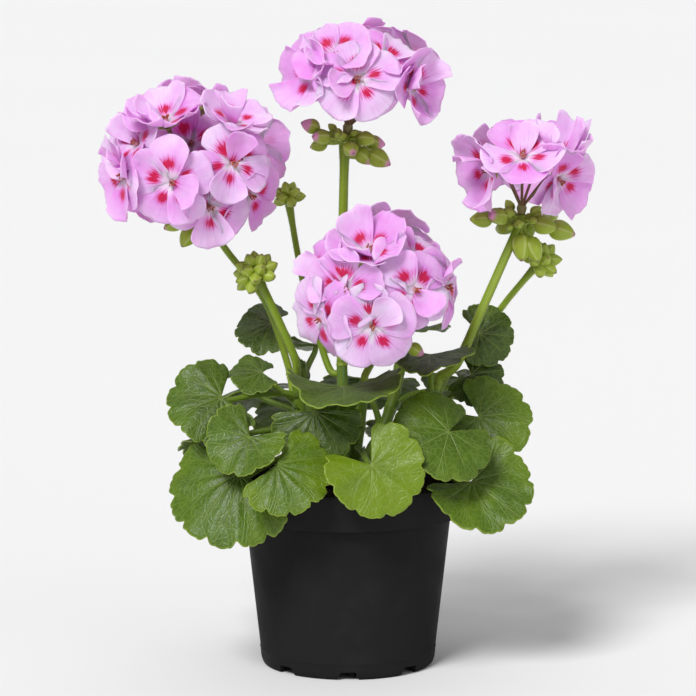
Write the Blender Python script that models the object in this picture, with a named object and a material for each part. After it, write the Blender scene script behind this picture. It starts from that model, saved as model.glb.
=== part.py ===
"""A zonal geranium in its nursery pot, modelled in Blender.

Sizes are in millimetres and become metres in the meshes. +Z is up, the origin is on the
ground under the pot's centre, and the plant's front faces -Y. Each leafy stem, each bloom
and each flower stalk with its buds grew as one piece, so each is one fused solid.
"""
import math
from dataclasses import dataclass

import bmesh
import bpy
from mathutils import Matrix, Vector

METRES_PER_MM = 0.001

# Nursery pot
POT_SIDES = 24
SOIL_SIDES = 18
POT_HEIGHT = 94.0
RIM_RADIUS = 60.0
RIM_BAND_FOOT_RADIUS = 56.8
RIM_BAND_FOOT_HEIGHT = 75.5
BAND_BEVEL = 1.0
LIP_BEVEL = 0.65
BODY_TOP_RADIUS = 51.0
BODY_FOOT_RADIUS = 43.5
BODY_FOOT_HEIGHT = 8.2
FOOT_RADIUS = 41.6
POT_WALL = 1.3
FLOOR_UNDERSIDE = 4.5
FLOOR_TOP = 5.8
FOOT_RING_INNER_RADIUS = 39.4
NOTCH_COUNT = 8
NOTCH_WIDTH = 8.0
NOTCH_HEIGHT = 4.1
NOTCH_CUT_LENGTH = 7.0
DRAIN_LENGTH = 9.0
DRAIN_WIDTH = 4.5
DRAIN_RADIUS = 30.0
DRAIN_CUT_HEIGHT = 4.0

# Soil
SOIL_GAP = 0.5
SOIL_EDGE_HEIGHT = 84.0
SOIL_MOUND = 2.0
STEM_HOLE_RADIUS = 6.8
STEM_HOLE_FLOOR = 61.7

# Stems
MAIN_STEM_RADIUS = 6.0
MAIN_STEM_FOOT = 62.0
MAIN_STEM_TOP = 103.0
SEAT_GAP = 0.35
STALK_LEAD = 3.0
SHOOT_RADIUS = 3.6
SHOOT_TIP_RADIUS = 2.6
SHOOT_SIDES = 6
LEAF_STALK_RADIUS = 1.35
LEAF_STALK_SIDES = 4

# Blades
BLADE_THICKNESS = 0.8
LOBE_STEP = 42.0
LOBE_SHOULDER = 10.5
LOBE_NOTCH_DEPTH = 0.075
BLADE_HALF_ANGLE = 168.0
BACK_LOBE_SHRINK = 0.22

# Florets and buds
PETALS = 5
PETAL_STEP = 360.0 / PETALS
FIRST_PETAL = PETAL_STEP / 2.0
PETAL_THICKNESS = 0.7
FLORET_RADIUS = 21.9
FLORET_LAYER_STEP = 3.8
FLORET_DROOP = 3.5
FLORET_THROAT_DEPTH = 5.0
FLORET_STALK_RADIUS = 0.9
FLORET_NECK_RADIUS = 1.7
BUD_SIDES = 4
BUD_STALK_RADIUS = 0.75
BUD_WIDTH_SHARE = 0.32
HUB_RADIUS = 3.3
HUB_TOP_RADIUS = 2.0
BLOOM_KNOB_RADIUS = 2.7


@dataclass(frozen=True)
class Shoot:
    """One leafy stem: where and which way it leaves the main stem, and where it ends."""
    name: str
    start: Vector
    heading: Vector
    end: tuple
    lean: tuple


@dataclass(frozen=True)
class Leaf:
    """One leaf: its place along a shoot, its blade's midrib, and how the blade bends.

    A spread of 1 all but closes the notch where the stalk meets the blade, and less opens it.
    """
    shoot: str
    at: float
    junction: tuple
    tip: tuple
    radius: float
    spread: float
    upper_face: tuple
    curl: tuple
    cup: float
    wave: tuple


@dataclass(frozen=True)
class Floret:
    """One floret: right of and above its ball's centre, 1 in front or -1 behind, and its stance.

    Roll turns it clockwise, tilt lifts its face and turn swings it to the right, in degrees.
    Droop is how far the petals' tips fall back. Below 0 they close to a cup.
    """
    right: float
    above: float
    front: int = 1
    roll: float = 0.0
    tilt: float = 0.0
    turn: float = 0.0
    droop: float = FLORET_DROOP


@dataclass(frozen=True)
class Head:
    """One flower head: its stalk's route and the ball that its florets lie on."""
    name: str
    shoot: str
    at: float
    route: tuple
    stalk_radii: tuple
    hub: tuple
    centre: tuple
    ball: tuple
    florets: tuple
    buds: tuple


@dataclass(frozen=True)
class BudHead:
    """A closed head: its stalk's route and the ball of buds at its end."""
    name: str
    shoot: str
    at: float
    route: tuple
    stalk_radii: tuple
    centre: tuple
    ball_radius: float
    bud_count: int
    bud_length: float


def side_seat(turn, height):
    """Where a shoot leaves the main stem's side, and its heading. Turn 0 faces the front."""
    angle = math.radians(turn)
    outward = Vector((math.sin(angle), -math.cos(angle), 0.0))
    return outward * (MAIN_STEM_RADIUS + SEAT_GAP) + Vector((0.0, 0.0, height)), outward


def top_seat():
    """Where a shoot carries on from the main stem's top, and its heading."""
    return Vector((0.0, 0.0, MAIN_STEM_TOP + SEAT_GAP)), Vector((0.0, 0.0, 1.0))


SHOOTS = (
    Shoot("leafy_stem_left", *side_seat(-85.0, 91.5), (-25.0, -8.0, 141.0), (-0.1, -0.05, 1.0)),
    Shoot("leafy_stem_front", *side_seat(5.0, 94.0), (8.0, -24.0, 144.0), (0.1, -0.15, 1.0)),
    Shoot("leafy_stem_right", *side_seat(88.0, 91.0), (44.0, -2.0, 140.0), (0.35, 0.0, 1.0)),
    Shoot("leafy_stem_back_left", *side_seat(212.0, 98.5), (-24.0, 30.0, 146.0), (-0.1, 0.1, 1.0)),
    Shoot("leafy_stem_back_right", *side_seat(152.0, 95.0), (26.0, 32.0, 144.0), (0.1, 0.1, 1.0)),
    Shoot("leafy_stem_middle", *top_seat(), (-3.0, 8.0, 150.0), (0.0, 0.05, 1.0)),
)

LEAVES = (
    # Left
    Leaf("leafy_stem_left", 0.42, (-52.0, -50.0, 103.0), (-73.0, -62.0, 82.0), 38.0, 0.62,
         (-0.30, -0.85, 0.42), (0.4, 0.5), 0.0, (0.05, 3.0, 0.5)),
    Leaf("leafy_stem_left", 0.88, (-61.0, -35.0, 138.0), (-84.0, -43.0, 132.0), 27.0, 0.74,
         (-0.20, -0.80, 0.56), (0.4, 0.2), -0.05, (0.10, 3.5, 0.3)),
    Leaf("leafy_stem_left", 0.62, (-60.0, -6.0, 117.5), (-91.0, -10.0, 108.5), 26.0, 0.74,
         (-0.10, 0.35, 0.93), (0.3, 0.3), 0.0, (0.06, 3.0, 1.0)),
    Leaf("leafy_stem_left", 0.55, (-47.0, -55.0, 122.0), (-62.0, -66.0, 106.0), 22.0, 0.80,
         (-0.10, -0.80, 0.60), (0.3, -0.6), 0.0, (0.06, 3.0, 0.0)),
    Leaf("leafy_stem_left", 0.80, (-42.0, -12.0, 146.5), (-58.0, -14.0, 147.0), 17.5, 0.74,
         (-0.05, -0.40, 0.91), (0.3, 0.2), 0.0, (0.12, 4.0, 0.2)),
    # Front
    Leaf("leafy_stem_front", 0.92, (-2.0, -42.0, 144.0), (-2.0, -66.0, 142.0), 32.0, 0.78,
         (0.0, -0.30, 0.95), (0.2, -0.55), 0.0, (0.07, 4.0, 0.8)),
    Leaf("leafy_stem_front", 0.66, (-16.0, -42.0, 132.0), (-12.0, -54.0, 108.0), 26.0, 0.60,
         (-0.05, -0.90, 0.42), (0.3, 0.4), 0.0, (0.04, 3.0, 0.0)),
    Leaf("leafy_stem_front", 0.22, (-34.0, -64.0, 110.0), (-7.0, -75.0, 94.0), 28.0, 0.62,
         (0.10, -0.80, 0.60), (0.3, 0.25), 0.04, (0.05, 3.0, 2.0)),
    Leaf("leafy_stem_front", 0.46, (11.0, -65.0, 110.0), (27.0, -75.0, 90.0), 27.0, 0.86,
         (0.05, -0.85, 0.50), (0.35, -0.45), 0.0, (0.06, 3.0, 1.2)),
    # Right
    Leaf("leafy_stem_right", 0.60, (48.0, -46.0, 123.0), (30.0, -60.0, 117.0), 27.0, 0.97,
         (0.05, -0.85, 0.52), (0.3, 0.2), -0.04, (0.06, 3.0, 0.0)),
    Leaf("leafy_stem_right", 0.75, (64.0, -14.0, 125.0), (82.0, -20.0, 117.0), 27.0, 0.86,
         (0.25, -0.85, 0.45), (0.3, 0.3), 0.03, (0.05, 3.0, 0.5)),
    Leaf("leafy_stem_right", 0.35, (60.0, -36.0, 97.0), (86.0, -50.0, 79.0), 31.0, 0.74,
         (0.10, -0.70, 0.70), (0.2, -0.5), 0.0, (0.10, 3.0, 1.5)),
    Leaf("leafy_stem_right", 0.88, (40.0, -16.0, 156.0), (39.0, -38.0, 153.0), 25.0, 0.72,
         (0.0, -0.45, 0.90), (0.2, -0.5), 0.0, (0.08, 3.0, 0.0)),
    Leaf("leafy_stem_right", 0.86, (65.0, 8.0, 163.0), (82.0, 9.0, 162.0), 18.0, 0.80,
         (-0.20, -0.90, 0.35), (0.4, 0.4), 0.0, (0.06, 3.0, 0.4)),
    Leaf("leafy_stem_right", 0.55, (61.0, 5.0, 143.0), (75.0, 3.0, 138.0), 17.0, 0.80,
         (0.05, -0.85, 0.50), (0.4, 0.4), 0.0, (0.06, 3.0, 0.4)),
    # Back left
    Leaf("leafy_stem_back_left", 0.95, (-38.0, 16.0, 167.0), (-58.0, 15.0, 166.0), 20.0, 0.78,
         (-0.05, -0.55, 0.82), (0.7, 0.5), 0.0, (0.10, 3.5, 0.0)),
    Leaf("leafy_stem_back_left", 0.50, (-48.0, 36.0, 132.0), (-72.0, 52.0, 120.0), 32.0, 0.76,
         (-0.35, 0.35, 0.85), (0.5, 0.3), 0.0, (0.06, 3.0, 0.0)),
    Leaf("leafy_stem_back_left", 0.40, (-20.0, 56.0, 119.0), (-30.0, 81.0, 100.0), 32.0, 0.76,
         (-0.15, 0.70, 0.70), (0.5, 0.3), 0.0, (0.06, 3.0, 2.0)),
    Leaf("leafy_stem_back_left", 0.85, (-16.0, 50.0, 152.0), (-22.0, 76.0, 147.0), 26.0, 0.76,
         (-0.05, 0.30, 0.95), (0.5, 0.2), 0.0, (0.08, 3.0, 1.0)),
    Leaf("leafy_stem_back_left", 0.28, (-58.0, 24.0, 105.0), (-86.0, 36.0, 90.0), 31.0, 0.76,
         (-0.60, 0.15, 0.78), (0.4, 0.3), 0.0, (0.06, 3.0, 0.5)),
    # Back right
    Leaf("leafy_stem_back_right", 0.50, (10.0, 56.0, 133.0), (12.0, 82.0, 121.0), 30.0, 0.76,
         (0.05, 0.50, 0.85), (0.5, 0.3), 0.0, (0.06, 3.0, 0.0)),
    Leaf("leafy_stem_back_right", 0.38, (34.0, 52.0, 108.0), (50.0, 76.0, 92.0), 31.0, 0.76,
         (0.30, 0.60, 0.74), (0.4, 0.3), 0.0, (0.06, 3.0, 1.5)),
    Leaf("leafy_stem_back_right", 0.70, (56.0, 42.0, 136.0), (80.0, 54.0, 124.0), 30.0, 0.76,
         (0.35, 0.35, 0.87), (0.5, 0.3), 0.0, (0.08, 3.0, 0.8)),
    Leaf("leafy_stem_back_right", 0.96, (30.0, 38.0, 161.0), (40.0, 58.0, 161.0), 23.0, 0.80,
         (0.0, 0.10, 0.99), (0.4, 0.2), 0.0, (0.08, 3.0, 0.0)),
    Leaf("leafy_stem_back_right", 0.30, (66.0, 16.0, 104.0), (90.0, 26.0, 94.0), 27.0, 0.80,
         (0.55, 0.10, 0.82), (0.4, 0.3), 0.0, (0.06, 3.0, 0.7)),
)

# A bud is its place from the hub, then its length.
HEADS = (
    Head("left", "leafy_stem_left", 0.88,
         ((-30.0, 1.0, 150.0), (-40.7, 2.0, 179.8), (-60.0, -2.0, 206.3)), (1.9, 1.6),
         (-71.0, -8.0, 225.0), (-74.0, -10.0, 247.0), (44.0, 38.0, 38.0),
         (Floret(-14.0, 27.5, roll=10.0, tilt=15.0, droop=-6.0),
          Floret(19.5, 5.0, roll=15.0, tilt=4.0),
          Floret(-9.0, -3.5, roll=-34.0),
          Floret(-30.0, 15.0, roll=20.0, turn=-10.0, droop=-3.0),
          Floret(8.0, -16.0, tilt=15.0),
          Floret(27.0, 9.0, -1, roll=25.0),
          Floret(21.0, 27.0, roll=-20.0, tilt=10.0, droop=-5.0),
          Floret(-34.0, -3.0, turn=-15.0, droop=-3.0),
          Floret(-12.0, 24.0, -1),
          Floret(30.0, -13.0, roll=30.0),
          Floret(-28.0, -8.0, -1, roll=10.0),
          Floret(8.0, -14.0, -1, roll=-15.0),
          Floret(4.0, 34.0, -1)),
         ((-14.0, -4.0, -6.0, 8.0), (-7.0, -6.0, -12.0, 9.0), (2.0, 6.0, -10.0, 8.0),
          (7.0, -6.0, -9.0, 7.0))),
    Head("top", "leafy_stem_middle", 1.0,
         ((-2.5, 8.0, 175.0), (-2.5, 6.0, 215.0)), (2.6, 2.2),
         (-1.5, 5.0, 259.0), (5.0, 3.0, 286.0), (36.0, 31.0, 28.0),
         (Floret(-25.0, 7.0, roll=20.0, tilt=-6.0, turn=-12.0, droop=-5.0),
          Floret(26.0, 1.0, roll=10.0, turn=10.0, droop=-6.0),
          Floret(-1.0, 4.0, roll=-36.0, tilt=9.0),
          Floret(14.0, 16.0, roll=15.0),
          Floret(-11.0, 16.5, roll=-10.0, droop=-3.0),
          Floret(-19.0, 9.0, -1),
          Floret(5.0, 1.0, -1, roll=30.0),
          Floret(-2.0, 23.0, -1, roll=10.0),
          Floret(25.0, 10.0, -1)),
         ((-17.0, -4.0, 7.0, 8.0), (-12.0, -9.0, 2.0, 8.0), (-13.0, 2.0, -3.0, 7.0),
          (11.0, -8.0, 1.0, 8.0), (15.0, 3.0, -2.0, 8.0), (10.0, -4.0, -8.0, 9.0),
          (17.0, -6.0, -9.0, 10.0), (4.0, 9.0, -7.0, 8.0), (-6.0, 12.0, 0.0, 8.0),
          (3.0, -11.0, -4.0, 8.0))),
    Head("right", "leafy_stem_right", 1.0,
         ((53.5, -4.0, 150.0), (65.0, -3.0, 175.2), (77.3, 3.0, 202.2)), (2.6, 2.1),
         (85.0, 8.0, 219.0), (86.0, 5.0, 246.0), (32.0, 25.0, 18.0),
         (Floret(-21.0, 0.0, tilt=-14.0, turn=-26.0, droop=-8.0),
          Floret(17.0, -5.0, roll=10.0, tilt=-6.0, turn=8.0, droop=-4.0),
          Floret(-2.0, 6.0, tilt=24.0, droop=-4.0),
          Floret(19.0, 9.0, roll=20.0, tilt=30.0, turn=-15.0, droop=-13.0),
          Floret(-14.0, 7.0, -1, roll=20.0),
          Floret(9.0, 0.0, -1, roll=-10.0)),
         ((-20.0, -4.0, 1.0, 9.0), (-12.0, -8.0, 3.0, 9.0), (0.0, -5.0, -13.0, 11.0),
          (6.0, -4.0, -14.0, 11.0), (12.0, -6.0, -2.0, 10.0), (20.0, -3.0, -5.0, 11.0),
          (-8.0, 8.0, -4.0, 9.0), (4.0, 11.0, -6.0, 9.0), (14.0, 8.0, 1.0, 9.0),
          (-13.0, 6.0, 2.0, 8.0))),
    Head("front", "leafy_stem_front", 1.0,
         ((12.0, -22.0, 154.0), (15.0, -24.0, 162.0)), (1.9, 1.7),
         (17.0, -26.0, 170.0), (13.4, -36.0, 188.5), (40.0, 36.0, 37.0),
         (Floret(37.0, 5.0),
          Floret(18.0, 6.0, roll=5.0),
          Floret(-2.0, -10.0, roll=31.0, tilt=10.0),
          Floret(-4.0, 26.5, tilt=4.0, droop=-6.0),
          Floret(-15.0, 6.0, roll=-38.0, droop=2.0),
          Floret(8.0, 25.0, -1),
          Floret(-30.0, 13.0, roll=-15.0, turn=-15.0),
          Floret(-26.5, -9.0, roll=10.0, turn=-10.0),
          Floret(-10.0, 12.0, -1, roll=20.0),
          Floret(19.0, 22.0, roll=20.0),
          Floret(24.0, 4.0, -1, roll=-20.0)),
         ((16.0, -4.0, -10.0, 7.0), (10.0, 6.0, -9.0, 7.0))),
)

BUD_HEADS = (
    BudHead("bright", "leafy_stem_left", 1.0,
            ((-26.0, -13.0, 154.0), (-35.6, -14.0, 176.5)), (2.2, 1.9),
            (-44.3, -15.0, 195.0), 12.0, 13, 8.0),
    BudHead("half_open", "leafy_stem_right", 0.78,
            ((56.0, 20.0, 152.0), (70.0, 21.0, 166.0), (80.2, 18.0, 180.0)), (1.8, 1.6),
            (95.0, 16.0, 198.0), 11.0, 9, 9.0),
    BudHead("small", "leafy_stem_middle", 0.9,
            ((-15.0, 14.0, 162.0), (-21.3, 13.0, 184.2), (-25.2, 12.0, 204.2)), (1.9, 1.5),
            (-29.5, 12.0, 230.0), 9.0, 6, 8.0),
)


def clear_scene():
    """Removes whatever the scene holds."""
    for thing in list(bpy.data.objects):
        bpy.data.objects.remove(thing, do_unlink=True)


def make_material(name, colour, roughness):
    """A Principled material of one colour."""
    material = bpy.data.materials.new(name)
    material.use_nodes = True
    shader = material.node_tree.nodes["Principled BSDF"]
    shader.inputs["Base Color"].default_value = (*colour, 1.0)
    shader.inputs["Roughness"].default_value = roughness
    material.diffuse_color = (*colour, 1.0)
    return material


def add_object(name, shape, material=None):
    """Puts a bmesh drawn in millimetres into the scene as an object in metres."""
    bmesh.ops.scale(shape, vec=Vector((1.0, 1.0, 1.0)) * METRES_PER_MM, verts=shape.verts)
    bmesh.ops.recalc_face_normals(shape, faces=shape.faces)
    mesh = bpy.data.meshes.new(name)
    shape.to_mesh(mesh)
    shape.free()
    thing = bpy.data.objects.new(name, mesh)
    bpy.context.scene.collection.objects.link(thing)
    if material is not None:
        mesh.materials.append(material)
    return thing


def frozen_mesh(thing):
    """The object's mesh with its modifiers applied."""
    graph = bpy.context.evaluated_depsgraph_get()
    return bpy.data.meshes.new_from_object(thing.evaluated_get(graph))


def largest_body(mesh):
    """Keeps the mesh's largest connected body, so sealed hollows and scraps go."""
    shape = bmesh.new()
    shape.from_mesh(mesh)
    bmesh.ops.remove_doubles(shape, verts=shape.verts, dist=1e-7)
    waiting = set(shape.faces)
    bodies = []
    while waiting:
        front = [waiting.pop()]
        body = []
        while front:
            face = front.pop()
            body.append(face)
            for edge in face.edges:
                for neighbour in edge.link_faces:
                    if neighbour in waiting:
                        waiting.remove(neighbour)
                        front.append(neighbour)
        bodies.append(body)
    bodies.sort(key=len)
    for scrap in bodies[:-1]:
        bmesh.ops.delete(shape, geom=scrap, context="FACES")
    bmesh.ops.triangulate(shape, faces=shape.faces)
    shape.to_mesh(mesh)
    shape.free()


def fuse(name, pieces, material):
    """Joins the pieces of one node in one Boolean union and removes what it was made of."""
    base = pieces[0]
    group = bpy.data.collections.new(name + "_pieces")
    bpy.context.scene.collection.children.link(group)
    for piece in pieces[1:]:
        bpy.context.scene.collection.objects.unlink(piece)
        group.objects.link(piece)
    union = base.modifiers.new("union", "BOOLEAN")
    union.operation = "UNION"
    union.operand_type = "COLLECTION"
    union.collection = group
    union.solver = "EXACT"
    mesh = frozen_mesh(base)
    for piece in pieces:
        bpy.data.objects.remove(piece, do_unlink=True)
    bpy.data.collections.remove(group)
    largest_body(mesh)
    mesh.name = name
    mesh.materials.clear()
    mesh.materials.append(material)
    mesh.shade_smooth()
    mesh.set_sharp_from_angle(angle=math.radians(50.0))
    thing = bpy.data.objects.new(name, mesh)
    bpy.context.scene.collection.objects.link(thing)
    return thing


def bezier(start, start_handle, end_handle, end, fraction):
    """Point on a cubic curve."""
    rest = 1.0 - fraction
    return (start * rest ** 3 + start_handle * 3.0 * rest ** 2 * fraction
            + end_handle * 3.0 * rest * fraction ** 2 + end * fraction ** 3)


def bezier_points(start, start_handle, end_handle, end, steps):
    """Evenly stepped points on a cubic curve."""
    return [bezier(start, start_handle, end_handle, end, step / steps)
            for step in range(steps + 1)]


def smooth_route(points, steps):
    """Points on a smooth curve through the given ones, with `steps` spans for each gap."""
    padded = [points[0] * 2.0 - points[1], *points, points[-1] * 2.0 - points[-2]]
    route = [points[0]]
    for index in range(len(points) - 1):
        before, start, end, after = padded[index:index + 4]
        for step in range(1, steps + 1):
            route.append(bezier(start, start + (end - before) / 6.0,
                                end - (after - start) / 6.0, end, step / steps))
    return route


def ring_frames(points):
    """Tangent and two cross directions at each point, carried along without twisting."""
    frames = []
    side = None
    for index, point in enumerate(points):
        before = points[max(index - 1, 0)]
        after = points[min(index + 1, len(points) - 1)]
        tangent = (after - before).normalized()
        if side is None:
            side = tangent.orthogonal().normalized()
        side = (side - tangent * side.dot(tangent)).normalized()
        frames.append((tangent, side, tangent.cross(side)))
    return frames


def add_tube(shape, points, radii, sides):
    """Adds a closed tube along the points to a bmesh."""
    rings = []
    for point, radius, frame in zip(points, radii, ring_frames(points)):
        _, side, across = frame
        ring = []
        for step in range(sides):
            turn = 2.0 * math.pi * step / sides
            offset = side * math.cos(turn) + across * math.sin(turn)
            ring.append(shape.verts.new(point + offset * radius))
        rings.append(ring)
    for lower, upper in zip(rings, rings[1:]):
        for step in range(sides):
            following = (step + 1) % sides
            shape.faces.new((lower[step], lower[following], upper[following], upper[step]))
    shape.faces.new(list(reversed(rings[0])))
    shape.faces.new(rings[-1])


def even_radii(first, last, count):
    """Radii that change evenly along a tube."""
    return [first + (last - first) * index / (count - 1) for index in range(count)]


def tube_object(name, points, radii, sides):
    """One closed tube as its own object."""
    shape = bmesh.new()
    add_tube(shape, points, radii, sides)
    return add_object(name, shape)


def turned_shape(profile, sides):
    """A bmesh turned round Z from a profile of (radius, height) that starts and ends on it."""
    shape = bmesh.new()
    verts = [shape.verts.new((radius, 0.0, height)) for radius, height in profile]
    edges = [shape.edges.new(pair) for pair in zip(verts, verts[1:])]
    bmesh.ops.spin(shape, geom=verts + edges, cent=(0.0, 0.0, 0.0), axis=(0.0, 0.0, 1.0),
                   angle=2.0 * math.pi, steps=sides, use_duplicate=False)
    bmesh.ops.remove_doubles(shape, verts=shape.verts, dist=0.001)
    return shape


def cut_away(thing, cutter_shape, name):
    """Cuts a bmesh out of an object and keeps the result."""
    cutter = add_object(name, cutter_shape)
    cut = thing.modifiers.new("cut", "BOOLEAN")
    cut.operation = "DIFFERENCE"
    cut.object = cutter
    cut.solver = "EXACT"
    mesh = frozen_mesh(thing)
    bpy.data.objects.remove(cutter, do_unlink=True)
    thing.modifiers.clear()
    thing.data = mesh


def foot_cutters():
    """The notches in the foot ring and the drain slots in the floor, as one bmesh."""
    shape = bmesh.new()
    ring_middle = (FOOT_RADIUS + FOOT_RING_INNER_RADIUS) / 2.0
    for index in range(NOTCH_COUNT):
        turn = Matrix.Rotation(2.0 * math.pi * index / NOTCH_COUNT - math.pi / 2.0, 4, "Z")
        notch = bmesh.ops.create_cube(shape, size=1.0)["verts"]
        bmesh.ops.scale(shape, vec=(NOTCH_CUT_LENGTH, NOTCH_WIDTH, 2.0 * NOTCH_HEIGHT), verts=notch)
        bmesh.ops.translate(shape, vec=(ring_middle, 0.0, 0.0), verts=notch)
        bmesh.ops.transform(shape, matrix=turn, verts=notch)
        slot = bmesh.ops.create_cube(shape, size=1.0)["verts"]
        bmesh.ops.scale(shape, vec=(DRAIN_LENGTH, DRAIN_WIDTH, DRAIN_CUT_HEIGHT), verts=slot)
        bmesh.ops.translate(shape, vec=(DRAIN_RADIUS, 0.0, FLOOR_TOP - 0.5), verts=slot)
        bmesh.ops.transform(shape, matrix=turn, verts=slot)
    return shape


def inner_radius(height):
    """The pot's inner radius at a height."""
    if height < RIM_BAND_FOOT_HEIGHT:
        share = (height - BODY_FOOT_HEIGHT) / (RIM_BAND_FOOT_HEIGHT - BODY_FOOT_HEIGHT)
        return BODY_FOOT_RADIUS + (BODY_TOP_RADIUS - BODY_FOOT_RADIUS) * share - POT_WALL
    share = (height - RIM_BAND_FOOT_HEIGHT) / (POT_HEIGHT - RIM_BAND_FOOT_HEIGHT)
    return RIM_BAND_FOOT_RADIUS + (RIM_RADIUS - RIM_BAND_FOOT_RADIUS) * share - POT_WALL


def build_pot(material):
    """The nursery pot, with its rim band, raised floor, notched foot and drain slots."""
    step_top = RIM_BAND_FOOT_HEIGHT + 2.0 * POT_WALL
    profile = (
        (0.0, FLOOR_UNDERSIDE),
        (FOOT_RING_INNER_RADIUS, FLOOR_UNDERSIDE),
        (FOOT_RING_INNER_RADIUS, 0.0),
        (FOOT_RADIUS, 0.0),
        (BODY_FOOT_RADIUS, BODY_FOOT_HEIGHT),
        (BODY_TOP_RADIUS, RIM_BAND_FOOT_HEIGHT),
        (RIM_BAND_FOOT_RADIUS - BAND_BEVEL, RIM_BAND_FOOT_HEIGHT),
        (RIM_BAND_FOOT_RADIUS, RIM_BAND_FOOT_HEIGHT + BAND_BEVEL),
        (RIM_RADIUS, POT_HEIGHT - LIP_BEVEL),
        (RIM_RADIUS - LIP_BEVEL, POT_HEIGHT),
        (inner_radius(POT_HEIGHT), POT_HEIGHT),
        (inner_radius(step_top), step_top),
        (inner_radius(RIM_BAND_FOOT_HEIGHT - 0.01), RIM_BAND_FOOT_HEIGHT + POT_WALL),
        (inner_radius(FLOOR_TOP), FLOOR_TOP),
        (0.0, FLOOR_TOP),
    )
    pot = add_object("pot", turned_shape(profile, POT_SIDES), material)
    cut_away(pot, foot_cutters(), "foot_cutter")
    pot.data.shade_smooth()
    pot.data.set_sharp_from_angle(angle=math.radians(30.0))
    return pot


def build_soil(material):
    """The peat in the pot, mounded a little, with a plain hole for the main stem."""
    ledge = RIM_BAND_FOOT_HEIGHT + 2.0 * POT_WALL
    profile = (
        (0.0, STEM_HOLE_FLOOR),
        (STEM_HOLE_RADIUS, STEM_HOLE_FLOOR),
        (STEM_HOLE_RADIUS, SOIL_EDGE_HEIGHT + SOIL_MOUND),
        (0.45 * RIM_RADIUS, SOIL_EDGE_HEIGHT + 0.7 * SOIL_MOUND),
        (0.75 * RIM_RADIUS, SOIL_EDGE_HEIGHT + 0.2 * SOIL_MOUND),
        (inner_radius(SOIL_EDGE_HEIGHT) - SOIL_GAP, SOIL_EDGE_HEIGHT),
        (inner_radius(ledge) - SOIL_GAP, ledge + SOIL_GAP),
        (inner_radius(RIM_BAND_FOOT_HEIGHT - 0.01) - SOIL_GAP, RIM_BAND_FOOT_HEIGHT + POT_WALL),
        (inner_radius(FLOOR_TOP) - SOIL_GAP, FLOOR_TOP + SOIL_GAP),
        (0.0, FLOOR_TOP + SOIL_GAP),
    )
    return add_object("potting_soil", turned_shape(profile, SOIL_SIDES), material)


def build_main_stem(material):
    """The short woody base that stands in the soil."""
    heights = (MAIN_STEM_FOOT, 80.0, MAIN_STEM_TOP - 3.0, MAIN_STEM_TOP)
    radii = (MAIN_STEM_RADIUS * 0.9, MAIN_STEM_RADIUS, MAIN_STEM_RADIUS, MAIN_STEM_RADIUS * 0.55)
    shape = bmesh.new()
    add_tube(shape, [Vector((0.0, 0.0, height)) for height in heights], radii, 10)
    return add_object("main_stem", shape, material)


def shoot_curve(shoot):
    """The four control points of a shoot's curve, from the main stem to its end."""
    end = Vector(shoot.end)
    lean = Vector(shoot.lean).normalized()
    reach = (end - shoot.start).length
    return (shoot.start, shoot.start + shoot.heading * 0.28 * reach,
            end - lean * 0.4 * reach, end)


def shoot_frame(shoot, fraction):
    """Point, direction and radius of a shoot at a fraction of its length."""
    curve = shoot_curve(shoot)
    near = bezier(*curve, max(fraction - 0.02, 0.0))
    far = bezier(*curve, min(fraction + 0.02, 1.0))
    radius = SHOOT_RADIUS + (SHOOT_TIP_RADIUS - SHOOT_RADIUS) * fraction
    return bezier(*curve, fraction), (far - near).normalized(), radius


def blade_reach(angle):
    """The blade's radius at an angle from the midrib, as a share of its full radius."""
    share = 1.0 - BACK_LOBE_SHRINK * (abs(angle) / 180.0) ** 2
    lobe_place = (angle + LOBE_STEP / 2.0) % LOBE_STEP
    from_notch = min(lobe_place, LOBE_STEP - lobe_place)
    if from_notch < LOBE_SHOULDER:
        share -= LOBE_NOTCH_DEPTH * (1.0 - from_notch / LOBE_SHOULDER)
    return share


def blade_angles():
    """Angles of the outline's points: each notch, the two shoulders of each lobe, the tip."""
    notch = -3.5 * LOBE_STEP
    angles = [-BLADE_HALF_ANGLE]
    while notch < 3.4 * LOBE_STEP:
        angles += [notch, notch + LOBE_SHOULDER, notch + LOBE_STEP - LOBE_SHOULDER]
        if abs(notch + LOBE_STEP / 2.0) < 1.0:
            angles.insert(-1, 0.0)
        notch += LOBE_STEP
    return angles + [notch, BLADE_HALF_ANGLE]


def blade_axes(leaf):
    """The blade's frame: along the midrib, across it and out of its upper face."""
    along = (Vector(leaf.tip) - Vector(leaf.junction)).normalized()
    up = Vector(leaf.upper_face)
    up = (up - along * up.dot(along)).normalized()
    return along, up.cross(along), up


def bent_place(distance, curl):
    """Where a flat distance ends, and how far it drops, on a blade rolled to an arc."""
    if abs(curl) < 1e-6:
        return distance, 0.0
    return math.sin(curl * distance) / curl, (1.0 - math.cos(curl * distance)) / curl


def blade_place(leaf, angle, share):
    """Place on the bent blade, at an angle from the midrib and a share of the way out."""
    turn = math.radians(angle) * leaf.spread
    radius = leaf.radius * blade_reach(angle) * share
    along, drop_along = bent_place(radius * math.cos(turn), leaf.curl[0] / leaf.radius)
    across, drop_across = bent_place(radius * math.sin(turn), leaf.curl[1] / leaf.radius)
    height, count, phase = leaf.wave
    rise = leaf.cup * leaf.radius * share ** 2
    rise += height * leaf.radius * share ** 2 * math.sin(count * turn + phase)
    forward, sideways, up = blade_axes(leaf)
    flat = forward * along + sideways * across
    return Vector(leaf.junction) + flat + up * (rise - drop_along - drop_across)


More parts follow.
